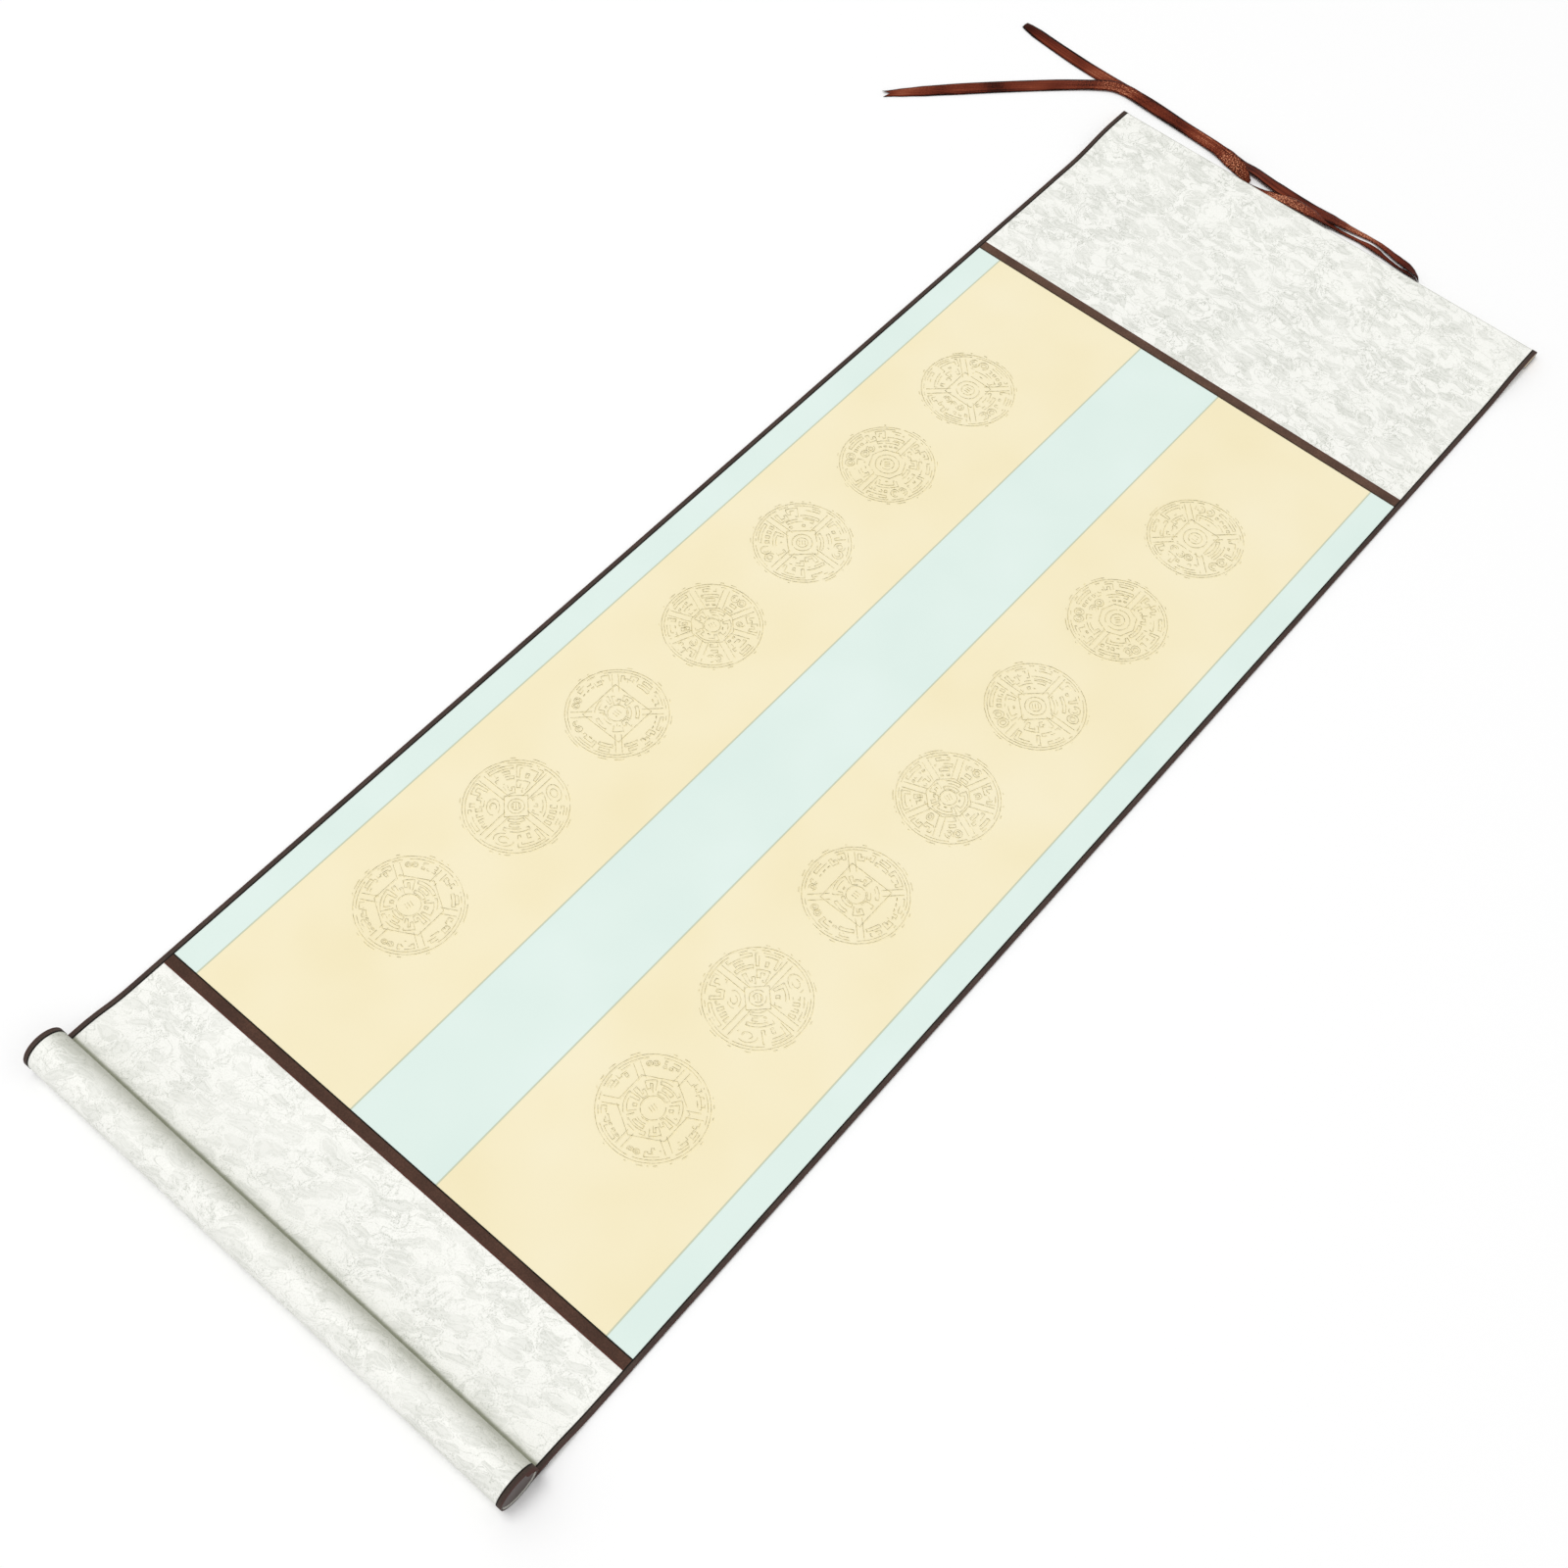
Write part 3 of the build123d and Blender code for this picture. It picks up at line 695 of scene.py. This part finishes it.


# The painted shade line lies at a distance from the middle on one axis, the redder one across the tape from
# it
def makeTape(name, axis, shadeLineEdge, width, mirrored, colours):
    material, tree, shader = startMaterial(name, {"Roughness": 0.7, "Specular IOR Level": 0.12})
    spot = addNode(tree, "spot").outputs["Object"]
    place = addNode(tree, "split", {0: spot}).outputs[axis]
    if mirrored:
        place = addNode(tree, "absolute", {0: place})
    distance = addNode(tree, "absolute", {0: addNode(tree, "minus", {0: place, 1: shadeLineEdge / 1000})})
    threads = addGrain(tree, shader, spot, edging["thread"], 0.3)
    wear = addNode(tree, "noise", {0: spot, 2: edging["wearPerMetre"], 3: 3.0})
    wornStart, wornFull = edging["worn"]
    rubbed = addNode(tree, "times", {0: threads, 1: wear})
    worn = addNode(tree, "range", {0: rubbed, 1: wornStart, 2: wornFull})
    redStart, redFull = ((width - inset) / 1000 for inset in edging["redLine"])
    shadeLineStart, shadeLineFull = (inset / 1000 for inset in edging["paintedShadeLine"])
    redSide = addNode(tree, "range", {0: distance, 1: redStart, 2: redFull})
    shadeLineMask = addNode(tree, "range", {0: distance, 1: shadeLineStart, 2: shadeLineFull})
    tone = linear(colours["base"])
    for mask, colour in ((worn, "light"), (redSide, "red"), (shadeLineMask, "dark")):
        tone = addNode(tree, "blend", {0: mask, 6: tone, 7: linear(colours[colour])})
    feed(tree, shader, {"Base Color": tone})
    return material


innerEdge = scroll["halfWidth"] - scroll["edging"]
edgingTape = makeTape("silkFacedEdgingTape", 0, innerEdge, scroll["edging"], True, edging)


# The loose end of the right strip, which stands past the roll with a torn outline
def addTab(strip, outerX):
    draws = random.Random(7)
    steps = edging["tabSteps"]
    low, high = scroll["rollRadius"] + scroll["face"], scroll["rollRadius"] + scroll["strip"]
    rings = []
    for index in range(steps + 1):
        turn = math.radians(edging["tabStart"] + (edging["tabEnd"] - edging["tabStart"]) * index / steps)
        share = index / steps
        ends = (share / edging["tabRise"], (1 - share) / edging["tabFall"] + edging["tabStub"])
        reach = edging["tabReach"] * min(1, *ends) * (1 - edging["tabTear"] * draws.random())
        root, tip = outerX - edging["tabOverlap"], outerX + max(edging["tabLeast"], reach)
        corners = ((root, low), (tip, low), (tip, high), (root, high))
        rings.append([rollerPoint(strip, x, radius, turn) for x, radius in corners])
    joinRings(strip, rings, False)


for name, low, high, node in (
    ("edgingLeft", -inside, -innerEdge, "left_edging"),
    ("edgingRight", innerEdge, inside, "right_edging"),
):
    strip = bmesh.new()
    flatMap = strip.loops.layers.uv.new("sheet")
    places = [low, (low + high) / 2, high]
    addLayer(strip, flatMap, wholePath(scroll["face"]), wholePath(scroll["strip"]), places)
    if name == "edgingRight":
        addTab(strip, high)
    addPiece(name, finishLayer(name, strip), edgingTape, node)
print("edging made")

# The separators keep their CAD shape. Their painted shade lines lie along the writing papers.
separators = {
    # dark is the colour of each painted shade line
    "foot": {"base": "#443027", "light": "#5A3F33", "dark": "#12110A", "red": "#563128"},
    "head": {"base": "#513C32", "light": "#6B5042", "dark": "#3B2E22", "red": "#573B33"},
}


def dress(node, material):
    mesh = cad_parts[node].data
    mesh.materials.clear()
    mesh.materials.append(material)


for end, name, node, edge in (
    ("foot", "silkFacedFootTape", "bottom_separator", scroll["footJoint"] + scroll["separator"] / 2),
    ("head", "silkFacedHeadTape", "top_separator", scroll["headJoint"] - scroll["separator"] / 2),
):
    dress(node, makeTape(name, 1, edge, scroll["separator"], False, separators[end]))
print("separators dressed")

# Sized mulberry paper, dyed in the pulp: soft clouds, fine fibres and no gloss
papers = {
    "cream": [(0.3, "#F4E8C0"), (0.5, "#F6EBC6"), (0.7, "#F7EDCB")],
    "blue": [(0.3, "#DDEEE7"), (0.5, "#E0F0E9"), (0.7, "#E3F2EC")],
    "cloudSize": 70.0,
    "fibre": 0.8,
    "joints": (27.5, 131.5),
    # Each joint carries a painted shade line: its half width, colour and strength
    "jointHalfWidth": 0.45,
    "jointShadeLine": "#BDC4A8",
    "jointShadeShare": 0.75,
}


def makePaper(name, stops):
    material, tree, shader = startMaterial(name, {"Roughness": 0.8})
    spot = addNode(tree, "spot").outputs["Object"]
    clouds = addNode(tree, "noise", {0: spot, 2: 1000 / papers["cloudSize"], 3: 2.0})
    ramp = addNode(tree, "ramp", {0: clouds})
    setStops(ramp, stops)
    fromMiddle = addNode(tree, "absolute", {0: addNode(tree, "split", {0: spot})})
    # A painted shade line along each joint between the papers
    reach = papers["jointHalfWidth"] / 1000
    inner, outer = (
        addNode(tree, "ShaderNodeMath", {0: fromMiddle, 1: joint / 1000, 2: reach}, operation="COMPARE")
        for joint in papers["joints"]
    )
    lines = addNode(tree, "larger", {0: inner, 1: outer})
    lines = addNode(tree, "times", {0: lines, 1: papers["jointShadeShare"]})
    tone = addNode(tree, "blend", {0: lines, 6: ramp, 7: linear(papers["jointShadeLine"])})
    feed(tree, shader, {"Base Color": tone})
    addGrain(tree, shader, spot, papers["fibre"], 0.12)
    return material


creamPaper = makePaper("dyedCreamPaper", papers["cream"])
bluePaper = makePaper("dyedBluePaper", papers["blue"])
for node in ("left_writing_paper", "right_writing_paper"):
    dress(node, creamPaper)
for node in ("left_border", "centre_border", "right_border"):
    dress(node, bluePaper)
print("papers dressed")

# Screen-printed gold ink, thin and dry: khaki, with lighter specks as painted glints
ink = {
    # The top stop is the painted glint colour
    "gold": [(0.32, "#5F5526"), (0.5, "#908342"), (0.72, "#C2B474")],
    "pale": [(0.0, "#FFF9D8"), (1.0, "#FFF4CC")],
    "speck": 1.3,
}


def makeInk(name, roughness, stops):
    material, tree, shader = startMaterial(name, {"Roughness": roughness})
    spot = addNode(tree, "spot").outputs["Object"]
    specks = addNode(tree, "noise", {0: spot, 2: 1000 / ink["speck"], 3: 1.0})
    ramp = addNode(tree, "ramp", {0: specks})
    setStops(ramp, stops)
    feed(tree, shader, {"Base Color": ramp})
    return material


printInk = makeInk("screenPrintedInk", 0.45, ink["gold"])
# A pale copy of each stroke, shifted to one side, is a painted highlight
paleInk = makeInk("paleInkEdge", 0.5, ink["pale"])

# Seven rows of roundels. Each design: reach of the inner frame, its sides, double bars, first angle
printing = {
    "columns": {"left": -83.1, "right": 75.9},
    "firstRowY": 184.975,
    "pitch": 74.4,
    "radius": 26.2,
    "designs": [
        (9.4, 4, 4, 45.0),
        (9.6, 8, 2, 90.0),
        (8.0, 4, 4, 0.0),
        (11.0, 8, 8, 22.5),
        (12.5, 4, 4, 45.0),
        (6.0, 4, 4, 0.0),
        (15.0, 6, 6, 30.0),
    ],
    "barSpacing": 3.3,
    "bar": 1.7,
    "barPitch": 3.5,
    "cellWidth": 11.5,
    "outerMargin": 2.2,
    "centreRing": 0.4,  # share of the frame's reach, as the next
    "secondRing": 0.7,
    "cross": (1.6, 1.5),  # reach of its bars and the way from one to the next
    "middleFrom": 10.5,
    "middleCells": (1.6, 0.95),  # way from the centre ring, and share of the frame's reach
    "split": (0.6, 0.5),  # how far past the middle the rings of cells part, and half the space there
    "barGap": 0.4,
    "barRoom": 0.8,
    "bendStep": 1.3,
    "pointStep": 0.9,
    "strokes": {"strokeWidth": 0.5, "strokeHeight": 0.055, "wobble": 0.09},
    "seeds": {"left": 1.7, "right": 4.3},
    "patternsPerMetre": {"shake": 420.0, "wear": 240.0, "thickness": 900.0},
    "thickness": (0.3, 0.7, 0.45, 1.25),  # where its pattern starts and ends, and its share there
    # The painted highlight copy of each stroke: its shift and its size
    "paintedHighlightShift": (0.62, -0.26, 0.0),
    "paintedHighlightSize": 1.15,
    "rims": [(2.1, 0.54), (0.7, 0.26), (-0.8, 0.4)],  # distance outside the radius, and wear
    "wear": {"frame": 0.3, "centre": 0.32, "cross": 0.3, "bars": 0.28, "middle": 0.37, "cells": 0.39},
    "gap": 1.2,
    "smallestCell": (1.5, 1.2),
}


def polar(radius, degrees):
    return (radius * math.cos(math.radians(degrees)), radius * math.sin(math.radians(degrees)))


def arcStroke(radius, start, end):
    count = max(2, round(abs(end - start) / 4))
    return [polar(radius, start + (end - start) * i / count) for i in range(count + 1)]


def frameStroke(reach, sides, turn):
    corner = reach / math.cos(math.pi / sides)
    return [polar(corner, turn + 180 / sides + 360 * i / sides) for i in range(sides + 1)]


# A stroke beside a line that faces away from the middle: across is sideways, along is outwards
def spokeStroke(angle, points):
    turn = math.radians(angle)
    return [
        (along * math.cos(turn) - across * math.sin(turn), along * math.sin(turn) + across * math.cos(turn))
        for across, along in points
    ]


# A stroke bent round the middle, so that a motif fills its part of a ring
def bentStroke(angle, middleRadius, points):
    bent = []
    for (x0, y0), (x1, y1) in zip(points, points[1:]):
        count = max(1, round(math.hypot(x1 - x0, y1 - y0) / printing["bendStep"]))
        for step in range(0 if not bent else 1, count + 1):
            across = x0 + (x1 - x0) * step / count
            along = y0 + (y1 - y0) * step / count
            bent.append(polar(along, angle + math.degrees(across / middleRadius)))
    return bent


# The outline of a bar drawn along a line: down one side, across the end and back up the other
def hollowBar(points):
    directions = []
    for (x0, y0), (x1, y1) in zip(points, points[1:]):
        length = math.hypot(x1 - x0, y1 - y0)
        directions.append(((x1 - x0) / length, (y1 - y0) / length))
    sides = ([], [])
    for index, (x, y) in enumerate(points):
        (dx0, dy0), (dx1, dy1) = directions[max(index - 1, 0)], directions[min(index, len(directions) - 1)]
        scale = printing["bar"] / 2 / (1 + dx0 * dx1 + dy0 * dy1)
        shiftX, shiftY = -(dy0 + dy1) * scale, (dx0 + dx1) * scale
        sides[0].append((x + shiftX, y + shiftY))
        sides[1].append((x - shiftX, y - shiftY))
    return sides[0] + sides[1][::-1] + sides[0][:1]


# Traditional fret, stack, comb, petal and hook motifs, each for a cell of a given width and depth
def fretMotif(half, low, high):
    strokes = [hollowBar([(-half, low), (-half, high), (half, high), (half, low)])]
    if half > 2.4:
        strokes.append(hollowBar([(0, low), (0, high - printing["barPitch"])]))
    return strokes


def stackMotif(half, low, high):
    rows = max(2, round((high - low) / printing["barPitch"]) + 1)
    strokes = []
    for row in range(rows):
        along = low + (high - low) * row / (rows - 1)
        reach = (half + 0.6) * (1.0 if row % 2 == 0 else 0.66)
        strokes.append(hollowBar([(-reach, along), (reach, along)]))
    return strokes


def combMotif(half, low, high):
    teeth = max(2, round(2 * half / printing["barPitch"]) + 1)
    strokes = [hollowBar([(-half - 0.5, high), (half + 0.5, high)])]
    for tooth in range(teeth):
        across = -half + 2 * half * tooth / (teeth - 1)
        strokes.append(hollowBar([(across, low), (across, high - printing["barPitch"] * 0.8)]))
    return strokes


def petalMotif(half, low, high):
    middle = (low + high) / 2
    depth = (high - low) / 2 + 0.5
    count = max(1, round(half / depth))
    reach = half / count
    petals = []
    for petal in range(count):
        place = reach * (2 * petal + 1 - count)
        for size in (1.0, 0.5):
            turns = [math.radians(angle) for angle in range(0, 361, 24)]
            wide, tall = reach * size, depth * size
            petals.append([(place + wide * math.sin(a), middle + tall * math.cos(a)) for a in turns])
    return petals


def hookMotif(half, low, high):
    middle = (low + high) / 2
    inner = printing["barPitch"] / 2
    return [
        hollowBar([(-half, low), (-half, high), (-inner + 0.5, high), (-inner + 0.5, middle - 0.6)]),
        hollowBar([(half, high), (half, low), (inner - 0.5, low), (inner - 0.5, middle)]),
    ]


motifs = [fretMotif, stackMotif, hookMotif, combMotif, petalMotif]


# The strokes of one roundel, each with how far worn away it is
def roundelStrokes(row):
    reach, sides, bars, first = printing["designs"][row]
    radius, gap, barWidth, wear = (printing[key] for key in ("radius", "gap", "bar", "wear"))
    outer = radius - printing["outerMargin"]
    centre = reach * printing["centreRing"]
    strokes = [(arcStroke(radius + past, 0, 360), rimWear) for past, rimWear in printing["rims"]]
    strokes.append((frameStroke(reach, sides, first - 180 / sides), wear["frame"]))
    strokes.append((arcStroke(centre, 0, 360), wear["centre"]))
    across, step = printing["cross"]
    for along in (-step, 0.0, step):
        strokes.append((spokeStroke(45 + first, [(-across, along), (across, along)]), wear["cross"]))
    if reach > printing["middleFrom"]:
        inset, share = printing["middleCells"]
        low, high = centre + inset, reach * share - gap
        middle = (low + high) / 2
        cells = max(3, round(2 * math.pi * middle / printing["cellWidth"]))
        half = (2 * math.pi * middle / cells - gap - barWidth) / 2
        for cell in range(cells):
            for stroke in motifs[(row + cell) % 3](half, low, high):
                strokes.append((bentStroke(first + 360 * cell / cells, middle, stroke), wear["middle"]))
    else:
        strokes.append((arcStroke(reach * printing["secondRing"], 0, 360), wear["centre"]))
    spacing = printing["barSpacing"] / 2
    shift, space = printing["split"]
    split = (reach + outer) / 2 + shift
    shallowest, narrowest = printing["smallestCell"]
    for bar in range(bars):
        angle = first + 360 * bar / bars
        for side in (-spacing, spacing):
            line = [(side, reach + printing["barGap"]), (side, outer)]
            strokes.append((spokeStroke(angle, line), wear["bars"]))
        for ring, (low, high) in enumerate(((reach, split - space), (split + space, outer))):
            middle = (low + high) / 2
            room = 2 * math.pi * middle / bars - 2 * (spacing + printing["barRoom"])
            cells = max(1, round(room / printing["cellWidth"]))
            for cell in range(cells):
                offset = (cell - (cells - 1) / 2) * room / cells
                half = (room / cells - gap - barWidth) / 2
                lowest = low
                if ring == 0:
                    # The frame's straight sides reach further out towards its corners
                    turned = math.degrees(offset / middle) + 180 / sides
                    fromSide = abs(turned % (360 / sides) - 180 / sides) + math.degrees(half / middle)
                    lowest = reach / math.cos(math.radians(min(fromSide, 180 / sides))) + gap
                lowest += barWidth / 2
                highest = high - barWidth / 2
                if highest - lowest < shallowest or half < narrowest:
                    continue
                motif = motifs[(row * 3 + bar * 2 + cell + ring * 3) % len(motifs)]
                for stroke in motif(half, lowest, highest):
                    moved = [(across + offset, along) for across, along in stroke]
                    strokes.append((bentStroke(angle + 180 / bars, middle, moved), wear["cells"]))
    return strokes


# Edge meshes that carry the strokes, with a point every step and the wear stored on each point
def strokeLines(name, columnX):
    lines = bmesh.new()
    wearLayer = lines.verts.layers.float.new("wear")
    for row in range(len(printing["designs"])):
        rowY = printing["firstRowY"] - row * printing["pitch"]
        for stroke, wear in roundelStrokes(row):
            previous = None
            for (x0, y0), (x1, y1) in zip(stroke, stroke[1:]):
                count = max(1, round(math.hypot(x1 - x0, y1 - y0) / printing["pointStep"]))
                for step in range(0 if previous is None else 1, count + 1):
                    x = columnX + x0 + (x1 - x0) * step / count
                    y = rowY + y0 + (y1 - y0) * step / count
                    vertex = lines.verts.new((x / 1000, y / 1000, scroll["face"] / 1000))
                    vertex[wearLayer] = wear
                    if previous is not None:
                        lines.edges.new((previous, vertex))
                    previous = vertex
    mesh = bpy.data.meshes.new(name)
    lines.to_mesh(mesh)
    lines.free()
    return mesh


# A tree that turns edge lines into worn raised ink: named sizes in, strokes of closed tubes out
def makeStrokeTree():
    tree = bpy.data.node_groups.new("printedStrokes", "GeometryNodeTree")
    sizes = ("strokeWidth", "strokeHeight", "wobble", "seed", "paintedHighlightSize")
    sockets = [(label, "Float") for label in sizes]
    sockets += [("paintedHighlightShift", "Vector"), ("ink", "Material"), ("paleInk", "Material")]
    for label, kind in [("Geometry", "Geometry")] + sockets:
        tree.interface.new_socket(label, in_out="INPUT", socket_type="NodeSocket" + kind)
    tree.interface.new_socket("Geometry", in_out="OUTPUT", socket_type="NodeSocketGeometry")
    scales = printing["patternsPerMetre"]
    given = addNode(tree, "NodeGroupInput").outputs
    place = addNode(tree, "GeometryNodeInputPosition")
    seedShift = addNode(tree, "ShaderNodeCombineXYZ", {2: given["seed"]})
    sample = addNode(tree, "vectorPlus", {0: place, 1: seedShift})
    shake = addNode(tree, "noise", {0: sample, 2: scales["shake"], 3: 1.0}).outputs[1]
    centred = addNode(tree, "vectorMinus", {0: shake, 1: (0.5, 0.5, 0.5)})
    flat = addNode(tree, "ShaderNodeVectorMath", {0: centred, 1: (4.0, 4.0, 0.0)}, operation="MULTIPLY")
    scaled = addNode(tree, "vectorScale", {0: flat, 3: given["wobble"]})
    moved = addNode(tree, "GeometryNodeSetPosition", {0: given["Geometry"], 3: scaled})
    wearNoise = addNode(tree, "noise", {0: sample, 2: scales["wear"], 3: 1.0})
    wear = addNode(tree, "GeometryNodeInputNamedAttribute", {0: "wear"}, data_type="FLOAT")
    worn = addNode(tree, "FunctionNodeCompare", {0: wearNoise, 1: wear}, operation="LESS_THAN")
    kept = addNode(tree, "GeometryNodeDeleteGeometry", {0: moved, 1: worn}, domain="POINT")
    lines = addNode(tree, "GeometryNodeMeshToCurve", {0: kept})
    upright = addNode(tree, "GeometryNodeSetCurveNormal", {0: lines}, mode="Z_UP")
    thickNoise = addNode(tree, "noise", {0: sample, 2: scales["thickness"], 3: 0.0})
    start, full, thin, heavy = printing["thickness"]
    thick = addNode(tree, "range", {0: thickNoise, 1: start, 2: full, 3: thin, 4: heavy})
    halfWidth = addNode(tree, "times", {0: given["strokeWidth"], 1: 0.5})
    size = addNode(tree, "ShaderNodeCombineXYZ", {0: given["strokeHeight"], 1: halfWidth, 2: 1.0})
    paintedHighlightSize = addNode(tree, "vectorScale", {0: size, 3: given["paintedHighlightSize"]})
    # The shifted copy, in the pale ink, is a painted highlight beside each stroke
    shifted = addNode(tree, "GeometryNodeSetPosition", {0: upright, 3: given["paintedHighlightShift"]})
    joined = addNode(tree, "GeometryNodeJoinGeometry")
    for path, corners, profileSize, label in ((upright, 4, size, "ink"), (shifted, 3, paintedHighlightSize, "paleInk")):
        ring = addNode(tree, "GeometryNodeCurvePrimitiveCircle", {0: corners, 4: 1.0})
        profile = addNode(tree, "GeometryNodeTransform", {0: ring, 3: profileSize})
        strokes = addNode(tree, "GeometryNodeCurveToMesh", {0: path, 1: profile, 2: thick, 3: True})
        feed(tree, joined, {0: addNode(tree, "GeometryNodeSetMaterial", {0: strokes, 2: given[label]})})
    addNode(tree, "NodeGroupOutput", {0: addNode(tree, "GeometryNodeRealizeInstances", {0: joined})})
    return tree


strokeTree = makeStrokeTree()
items = strokeTree.interface.items_tree
socketNames = {item.name: item.identifier for item in items if item.in_out == "INPUT"}
for side, node in (("left", "left_roundels"), ("right", "right_roundels")):
    name = "roundels" + side.capitalize()
    carrier = bpy.data.objects.new(name + "Lines", strokeLines(name + "Lines", printing["columns"][side]))
    scene.collection.objects.link(carrier)
    modifier = carrier.modifiers.new("strokes", "NODES")
    modifier.node_group = strokeTree
    values = {label: size / 1000 for label, size in printing["strokes"].items()}
    values["seed"] = printing["seeds"][side]
    values["paintedHighlightSize"] = printing["paintedHighlightSize"]
    values["paintedHighlightShift"] = [shift / 1000 for shift in printing["paintedHighlightShift"]]
    values.update(ink=printInk, paleInk=paleInk)
    for label, value in values.items():
        modifier[socketNames[label]] = value
    ready = carrier.evaluated_get(bpy.context.evaluated_depsgraph_get())
    mesh = bpy.data.meshes.new_from_object(ready)
    bpy.data.objects.remove(carrier)
    mesh.name = name
    print(name, len(mesh.polygons), "faces", [slot.name for slot in mesh.materials])
    addPiece(name, mesh, None, node)
print("roundels printed")

# Turned softwood stained dark brown, and a sawn lath: only their ends show
wood = {
    "stain": "#2E1C17",
    "stainLight": "#412A22",
    "plain": "#C9A878",
    "plainLight": "#DCC095",
    "halfRing": 1.6,
    "stretch": (0.12, 1.0, 1.0),
    "relief": 0.2,
    "recess": 0.5,
    "chamfer": 0.8,
    "sides": 96,
}


def makeWood(name, dark, light, roughness):
    material, tree, shader = startMaterial(name, {"Roughness": roughness})
    spot = addNode(tree, "spot").outputs["Object"]
    stretched = addNode(tree, "mapping", {0: spot, 3: wood["stretch"]})
    ringInputs = {0: stretched, 1: 1000 / wood["halfRing"] / 6.28, 2: 3.0, 3: 2.0}
    rings = addNode(tree, "ShaderNodeTexWave", ringInputs, wave_type="BANDS", bands_direction="Z").outputs[1]
    tone = addNode(tree, "blend", {0: rings, 6: linear(dark), 7: linear(light)})
    relief = addNode(tree, "bump", {0: 0.2, 1: wood["relief"] / 1000, 3: rings})
    feed(tree, shader, {"Base Color": tone, "Normal": relief})
    return material


stainedWood = makeWood("turnedStainedSoftwood", wood["stain"], wood["stainLight"], 0.5)
plainWood = makeWood("sawnSoftwoodLath", wood["plain"], wood["plainLight"], 0.7)
rod = bmesh.new()
reach = scroll["halfWidth"] - wood["recess"]
radius = scroll["rollerRadius"]
chamfer = wood["chamfer"]
profile = [(-reach, radius - chamfer), (-reach + chamfer, radius)]
profile += [(reach - chamfer, radius), (reach, radius - chamfer)]
turns = [2 * math.pi * step / wood["sides"] for step in range(wood["sides"])]
rings = [[rollerPoint(rod, x, ringRadius, turn) for turn in turns] for x, ringRadius in profile]
joinRings(rod, rings, True)
addPiece("rollerRod", finishLayer("rollerRod", rod), stainedWood, "roller_rod")
dress("top_stave", plainWood)

# Bright steel wire, drawn through a die, which leaves fine scratches that spread its gloss
steel = {"colour": "#C9CACB", "scratchesPerMetre": 3000.0, "roughness": (0.2, 0.4)}
steelWire, tree, shader = startMaterial(
    "drawnSteelWire", {"Metallic": 1.0, "Base Color": linear(steel["colour"])}
)
spot = addNode(tree, "spot").outputs["Object"]
scratches = addNode(tree, "noise", {0: spot, 2: steel["scratchesPerMetre"], 3: 2.0})
smooth, rough = steel["roughness"]
feed(tree, shader, {"Roughness": addNode(tree, "range", {0: scratches, 3: smooth, 4: rough})})
for node in ("left_staple", "right_staple"):
    dress(node, steelWire)
print("wood and staples dressed")

# Pale floor, and soft light from the foot of the scroll
studio = {
    "floor": "#FFFFFF",
    "floorSize": 8.0,
    "floorDrop": 0.0003,
    "world": 0.66,
    "key": 142.0,
    "keySize": 2.6,
    "keyPlace": (-1.0, -0.9, 6.0),
}
floorMesh = bpy.data.meshes.new("floor")
half = studio["floorSize"] / 2
drop = -studio["floorDrop"]
floorMesh.from_pydata(
    [(-half, -half, drop), (half, -half, drop), (half, half, drop), (-half, half, drop)], [], [(0, 1, 2, 3)]
)
floor = bpy.data.objects.new("floor", floorMesh)
scene.collection.objects.link(floor)
floorPaint, tree, shader = startMaterial(
    "mattStudioFloor", {"Roughness": 0.9, "Base Color": linear(studio["floor"])}
)
floorMesh.materials.append(floorPaint)
world = bpy.data.worlds.new("studio")
world.use_nodes = True
world.node_tree.nodes["Background"].inputs[0].default_value = (1.0, 1.0, 1.0, 1.0)
world.node_tree.nodes["Background"].inputs[1].default_value = studio["world"]
scene.world = world
light = bpy.data.lights.new("keyLight", "AREA")
light.shape = "SQUARE"
light.size = studio["keySize"]
light.energy = studio["key"]
lamp = bpy.data.objects.new("keyLight", light)
lamp.location = studio["keyPlace"]
lamp.rotation_euler = (Vector((0, 0, 0)) - Vector(studio["keyPlace"])).to_track_quat("-Z", "Y").to_euler()
scene.collection.objects.link(lamp)
scene.view_settings.view_transform = "Standard"
print("studio lit")
